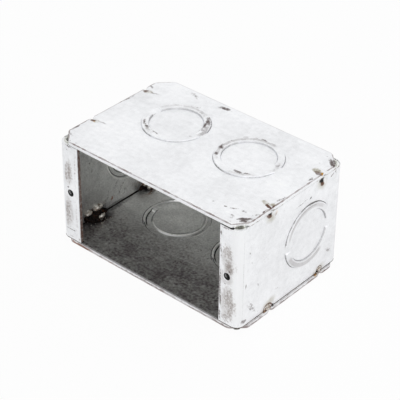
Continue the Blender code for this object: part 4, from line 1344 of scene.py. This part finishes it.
# Each seam: its depth under the strip's outer face, its face and the height above that, its
# radius, its metal, where it starts, and which points of the strip's path it takes.
BEND_POINTS = BEND_STEPS + 1
SEAMS = {
    "top_outside": (0.16, CEILING_FACE, -0.15, 0.17, "seam_zinc", FRONT + BEND, slice(None)),
    "top_inside": (1.5, CEILING_FACE, -0.05, 0.32, "web_zinc", None, slice(None, -BEND_POINTS)),
    "top_corner": (1.5, CEILING_FACE, -0.05, 0.32, "web_dirt_and_shade", None, slice(-BEND_POINTS - 1, None)),
    "bottom_outside": (0.10, FLOOR_FACE, 0.15, 0.18, "outer_seam_stain_and_shade", None, slice(None)),
    "bottom_inside": (1.55, FLOOR_FACE, 0.08, 0.40, "seam_soot_and_shade", None, slice(None)),
}
for name, (depth, face, above, thickness, metal, first_y, points) in SEAMS.items():
    path = [(x, y, face + above * MM) for x, y in strip_plan(depth * MM, first_y)[points]]
    sweep(f"seam_{name}", path, thickness, metal)
# A painted shadow: a dark sweep in the gap between the right flange and the top plate.
flange_gap_shadow_path = [
    (x, FRONT + 0.42 * MM, CEILING_FACE - 0.3 * MM) for x in (RIGHT - RIGHT_FLANGE + 0.4 * MM, RIGHT - BEND)
]
sweep("flange_gap_shadow", flange_gap_shadow_path, 0.40, "seam_soot_and_shade", 0.4)

# %% [markdown]
# ### Burrs of the knockouts
#
# The punch that sheared each knockout from outside left a fine raised burr on the inner
# side. Zinc covers it. Its near-white colour, with no metallic share, is a painted
# highlight that makes it read as a bright line round the crack. It is the same sweep
# again, along arcs. The burr is left where the punch cut deepest.

# %% Burrs inside
DEGREES_PER_POINT = 2
WALL_BURRS = [(14.1, 175, 272, 0.28), (11.4, -60, 60, 0.14)]
# Each burr: the centre of its arc, radius, first and last degree, thickness.
BURRS = {
    "floor_left": ("inside_floor", [
        (*FLOOR_RINGS[0], 14.1, 180, 228, 0.36), (*FLOOR_DISCS[0], 11.5, -128, 80, 0.34),
        (*FLOOR_RINGS[0], 14.3, -20, 20, 0.14),
    ]),
    "floor_right": ("inside_floor", [
        (*FLOOR_RINGS[1], 14.1, 172, 228, 0.36), (*FLOOR_DISCS[1], 11.5, -128, 80, 0.34),
    ]),
    "wall_left": ("inside_left", around([LEFT_INSIDE], WALL_BURRS)),
    "wall_right": ("inside_right", around([RIGHT_END], WALL_BURRS)),
}


def arc_path(face, u, v, radius, first, last):
    """Points round a centre on a face, in metres."""
    origin, along, across = (Vector(part) for part in FACES[face])
    count = max(2, round(abs(last - first) / DEGREES_PER_POINT))
    path = []
    for i in range(count + 1):
        turn = math.radians(first + (last - first) * i / count)
        place = along * (u + radius * math.cos(turn)) + across * (v + radius * math.sin(turn))
        path.append(tuple(origin + place * MM))
    return path


for name, (face, rows) in BURRS.items():
    for number, (*arc, thickness) in enumerate(rows):
        sweep(f"burr_{name}_{number}", arc_path(face, *arc), thickness, "burr_highlight_zinc", 0.7)

# %% [markdown]
# ### Zinc webs in the corners
#
# The strip's bends leave a small opening outside each cut corner of the plates. Hot zinc
# bridged these openings with a thin, uneven web a little below the edge. The tree fills
# the outline of an opening, cuts it into small faces, waves it with noise and gives it a
# thickness.

# %% Tree: corner web
def make_web_tree():
    tree, given, result = grow_tree("corner_web", {"Float": ["Thickness", "Waviness"]})
    curve = step(tree, "MeshToCurve", {"Mesh": given["Geometry"]})
    flat = step(tree, "FillCurve", {0: curve})
    fine = step(tree, "SubdivideMesh", {"Mesh": flat, "Level": 3})
    cloud = swing(tree, step(tree, "InputPosition"), 500.0)
    lift = sums(tree, "MULTIPLY", cloud, given["Waviness"])
    offset = add_node(tree, "ShaderNodeCombineXYZ", {"Z": lift}).outputs[0]
    waved = step(tree, "SetPosition", {"Geometry": fine, "Offset": offset})
    upper = step(tree, "ExtrudeMesh", {
        "Mesh": waved, "Offset Scale": given["Thickness"], "Individual": False,
    }, mode="FACES")
    lower = step(tree, "FlipFaces", {"Mesh": waved})
    whole = step(tree, "MergeByDistance", {"Geometry": join(tree, upper, lower)})
    end_tree(tree, given, result, whole)
    return tree


web_tree = make_web_tree()
print(web_tree.name, len(web_tree.nodes), "nodes")


# %% Eight webs
def corner_outline(side_x, side_y, height, cut=7.5 * MM):
    """A closed line round one corner opening: the bend's arc and a chord inside the plate."""
    edge = FRONT if side_y < 0 else BACK
    plan = [
        (side_x * (RIGHT - SHEET), edge - side_y * cut), *bend_arc(side_x, side_y, SHEET),
        (side_x * (RIGHT - cut), edge - side_y * SHEET),
    ]
    return seed_points("outline", [(x, y, height) for x, y in plan], edges=len(plan))


for level, height in (("top", CEILING_FACE - 0.65 * MM), ("bottom", FLOOR_FACE + 0.4 * MM)):
    for side_x, end in ((-1, "left"), (1, "right")):
        for side_y, row in ((-1, "front"), (1, "back")):
            # The web at the top right front is dark: dirt, and painted shade in the opening under the
            # plate's cut corner.
            dirty_and_shaded = (level, end, row) == ("top", "right", "front")
            values = {
                "Thickness": 0.3 * MM, "Waviness": 0.3 * MM,
                "Material": METAL["web_dirt_and_shade" if dirty_and_shaded else "web_zinc"],
            }
            outline = corner_outline(side_x, side_y, height)
            grow(f"web_{level}_{end}_{row}", web_tree, values, outline)

# %% [markdown]
# ### Screw threads
#
# Each flange has one tapped hole for a device screw. The punch that made it pushed a
# short collar inwards, which gives the thread more to hold. The thread itself is a helix,
# a small triangle swept along a spiral.

# %% Tree: screw thread
def make_thread_tree():
    inputs = {"Float": ["Radius", "Length", "Turns", "Ridge", "Collar"], "Vector": ["Place"]}
    tree, given, result = grow_tree("screw_thread", inputs)
    spiral = step(tree, "CurveSpiral", {
        "Resolution": 32, "Rotations": given["Turns"], "Start Radius": given["Radius"],
        "End Radius": given["Radius"], "Height": given["Length"],
    })
    ridge = step(tree, "CurvePrimitiveCircle", {"Resolution": 3, "Radius": given["Ridge"]})
    swept = step(tree, "CurveToMesh", {"Curve": spiral, "Profile Curve": ridge, "Fill Caps": True})
    wall = sums(tree, "MULTIPLY", given["Length"], 0.65)
    middle = sums(tree, "MULTIPLY", given["Length"], 0.675)
    centre = add_node(tree, "ShaderNodeCombineXYZ", {"Z": middle}).outputs[0]
    reach = sums(tree, "MULTIPLY_ADD", given["Collar"], 0.5, given["Radius"])
    circle = step(tree, "CurvePrimitiveCircle", {"Resolution": 48, "Radius": reach})
    section = step(tree, "CurvePrimitiveQuadrilateral", {"Width": given["Collar"], "Height": wall})
    ring = step(tree, "CurveToMesh", {"Curve": circle, "Profile Curve": section})
    lifted = step(tree, "Transform", {"Geometry": ring, "Translation": centre})
    placed = step(tree, "Transform", {
        "Geometry": join(tree, swept, lifted), "Translation": given["Place"],
        "Rotation": (-math.pi / 2, 0, 0),
    })
    end_tree(tree, given, result, placed)
    return tree


thread_tree = make_thread_tree()
print(thread_tree.name, len(thread_tree.nodes), "nodes")

# %% Two threads
HOLE_RADIUS, THREAD_START = 1.55 * MM, 0.9 * MM
for name, (x, z) in zip(("thread_left", "thread_right"), SCREW_HOLES):
    grow(name, thread_tree, {
        "Radius": HOLE_RADIUS, "Length": 2.2 * MM, "Turns": 4.0, "Ridge": 0.16 * MM, "Collar": 0.5 * MM,
        "Place": (x * MM, FRONT + THREAD_START, z * MM), "Material": METAL["thread_steel_and_shade"],
    }, seed_points("no_seed", []))

# %% [markdown]
# ### Spatter
#
# A welding arc throws out fine drops that freeze where they land. The tree scatters tiny
# balls with random sizes in a patch round each weld, thicker near its middle, and presses
# them half into the sheet.

# %% Tree: spatter
def make_spatter_tree():
    inputs = {"Int": ["Count", "Seed"], "Float": ["Spread", "Smallest", "Largest"]}
    tree, given, result = grow_tree("weld_spatter", inputs)
    copies = step(tree, "DuplicateElements", {"Geometry": given["Geometry"], "Amount": given["Count"]},
                  domain="POINT")

    def random(low, high, seed):
        # The node's inputs 2 and 3 and its output 1 are those of plain numbers.
        inputs = {2: low, 3: high, "Seed": sums(tree, "ADD", given["Seed"], seed)}
        return add_node(tree, "FunctionNodeRandomValue", inputs, data_type="FLOAT").outputs[1]

    place = step(tree, "InputPosition")
    for axis, seed, least in (("along", 1.0, -1.0), ("across", 2.0, 0.0)):
        share = sums(tree, "MULTIPLY", random(least, 1.0, seed), random(0.0, 1.0, seed + 5.0))
        reach = sums(tree, "MULTIPLY", share, given["Spread"])
        shift = vector_node(tree, "SCALE", attribute(tree, axis, "FLOAT_VECTOR"), scale=reach)
        place = vector_node(tree, "ADD", place, shift)
    moved = step(tree, "SetPosition", {"Geometry": copies, "Position": place})
    points = step(tree, "MeshToPoints", {"Mesh": moved, "Radius": 0.0})
    ball = step(tree, "MeshIcoSphere", {"Radius": 1.0, "Subdivisions": 2})
    size = random(given["Smallest"], given["Largest"], 9.0)
    drops = step(tree, "InstanceOnPoints", {"Points": points, "Instance": ball, "Scale": size})
    end_tree(tree, given, result, drops)
    return tree


spatter_tree = make_spatter_tree()
print(spatter_tree.name, len(spatter_tree.nodes), "nodes")


# %% Spatter round the welds
def spatter_seeds(level):
    """One seed point on each wall and on the plate beside each weld, with its directions."""
    plate, upwards = (FLOOR_FACE, 1) if level == "bottom" else (CEILING_FACE, -1)
    points, along, across = [], [], []
    for side in (-1, 1):
        wall = side * (RIGHT - SHEET)
        for y in (FRONT_WELD * MM, BACK_WELD * MM):
            points += [(wall, y, plate + upwards * 1.2 * MM), (wall - side * 1.5 * MM, y, plate)]
            along += [(0, 1, 0), (0, 1, 0)]
            across += [(0, 0, upwards), (-side, 0, 0)]
    mesh = seed_points("spatter_seeds", points)
    for name, rows in (("along", along), ("across", across)):
        made = mesh.attributes.new(name, "FLOAT_VECTOR", "POINT")
        made.data.foreach_set("vector", [value for row in rows for value in row])
    return mesh


for level, seed, metal in (("bottom", 3, "bright_weld"), ("top", 8, "burnt_weld")):
    grow(f"spatter_{level}", spatter_tree, {
        "Count": 26, "Spread": 8.0 * MM, "Smallest": 0.10 * MM, "Largest": 0.32 * MM, "Seed": seed,
        "Material": METAL[metal],
    }, spatter_seeds(level))
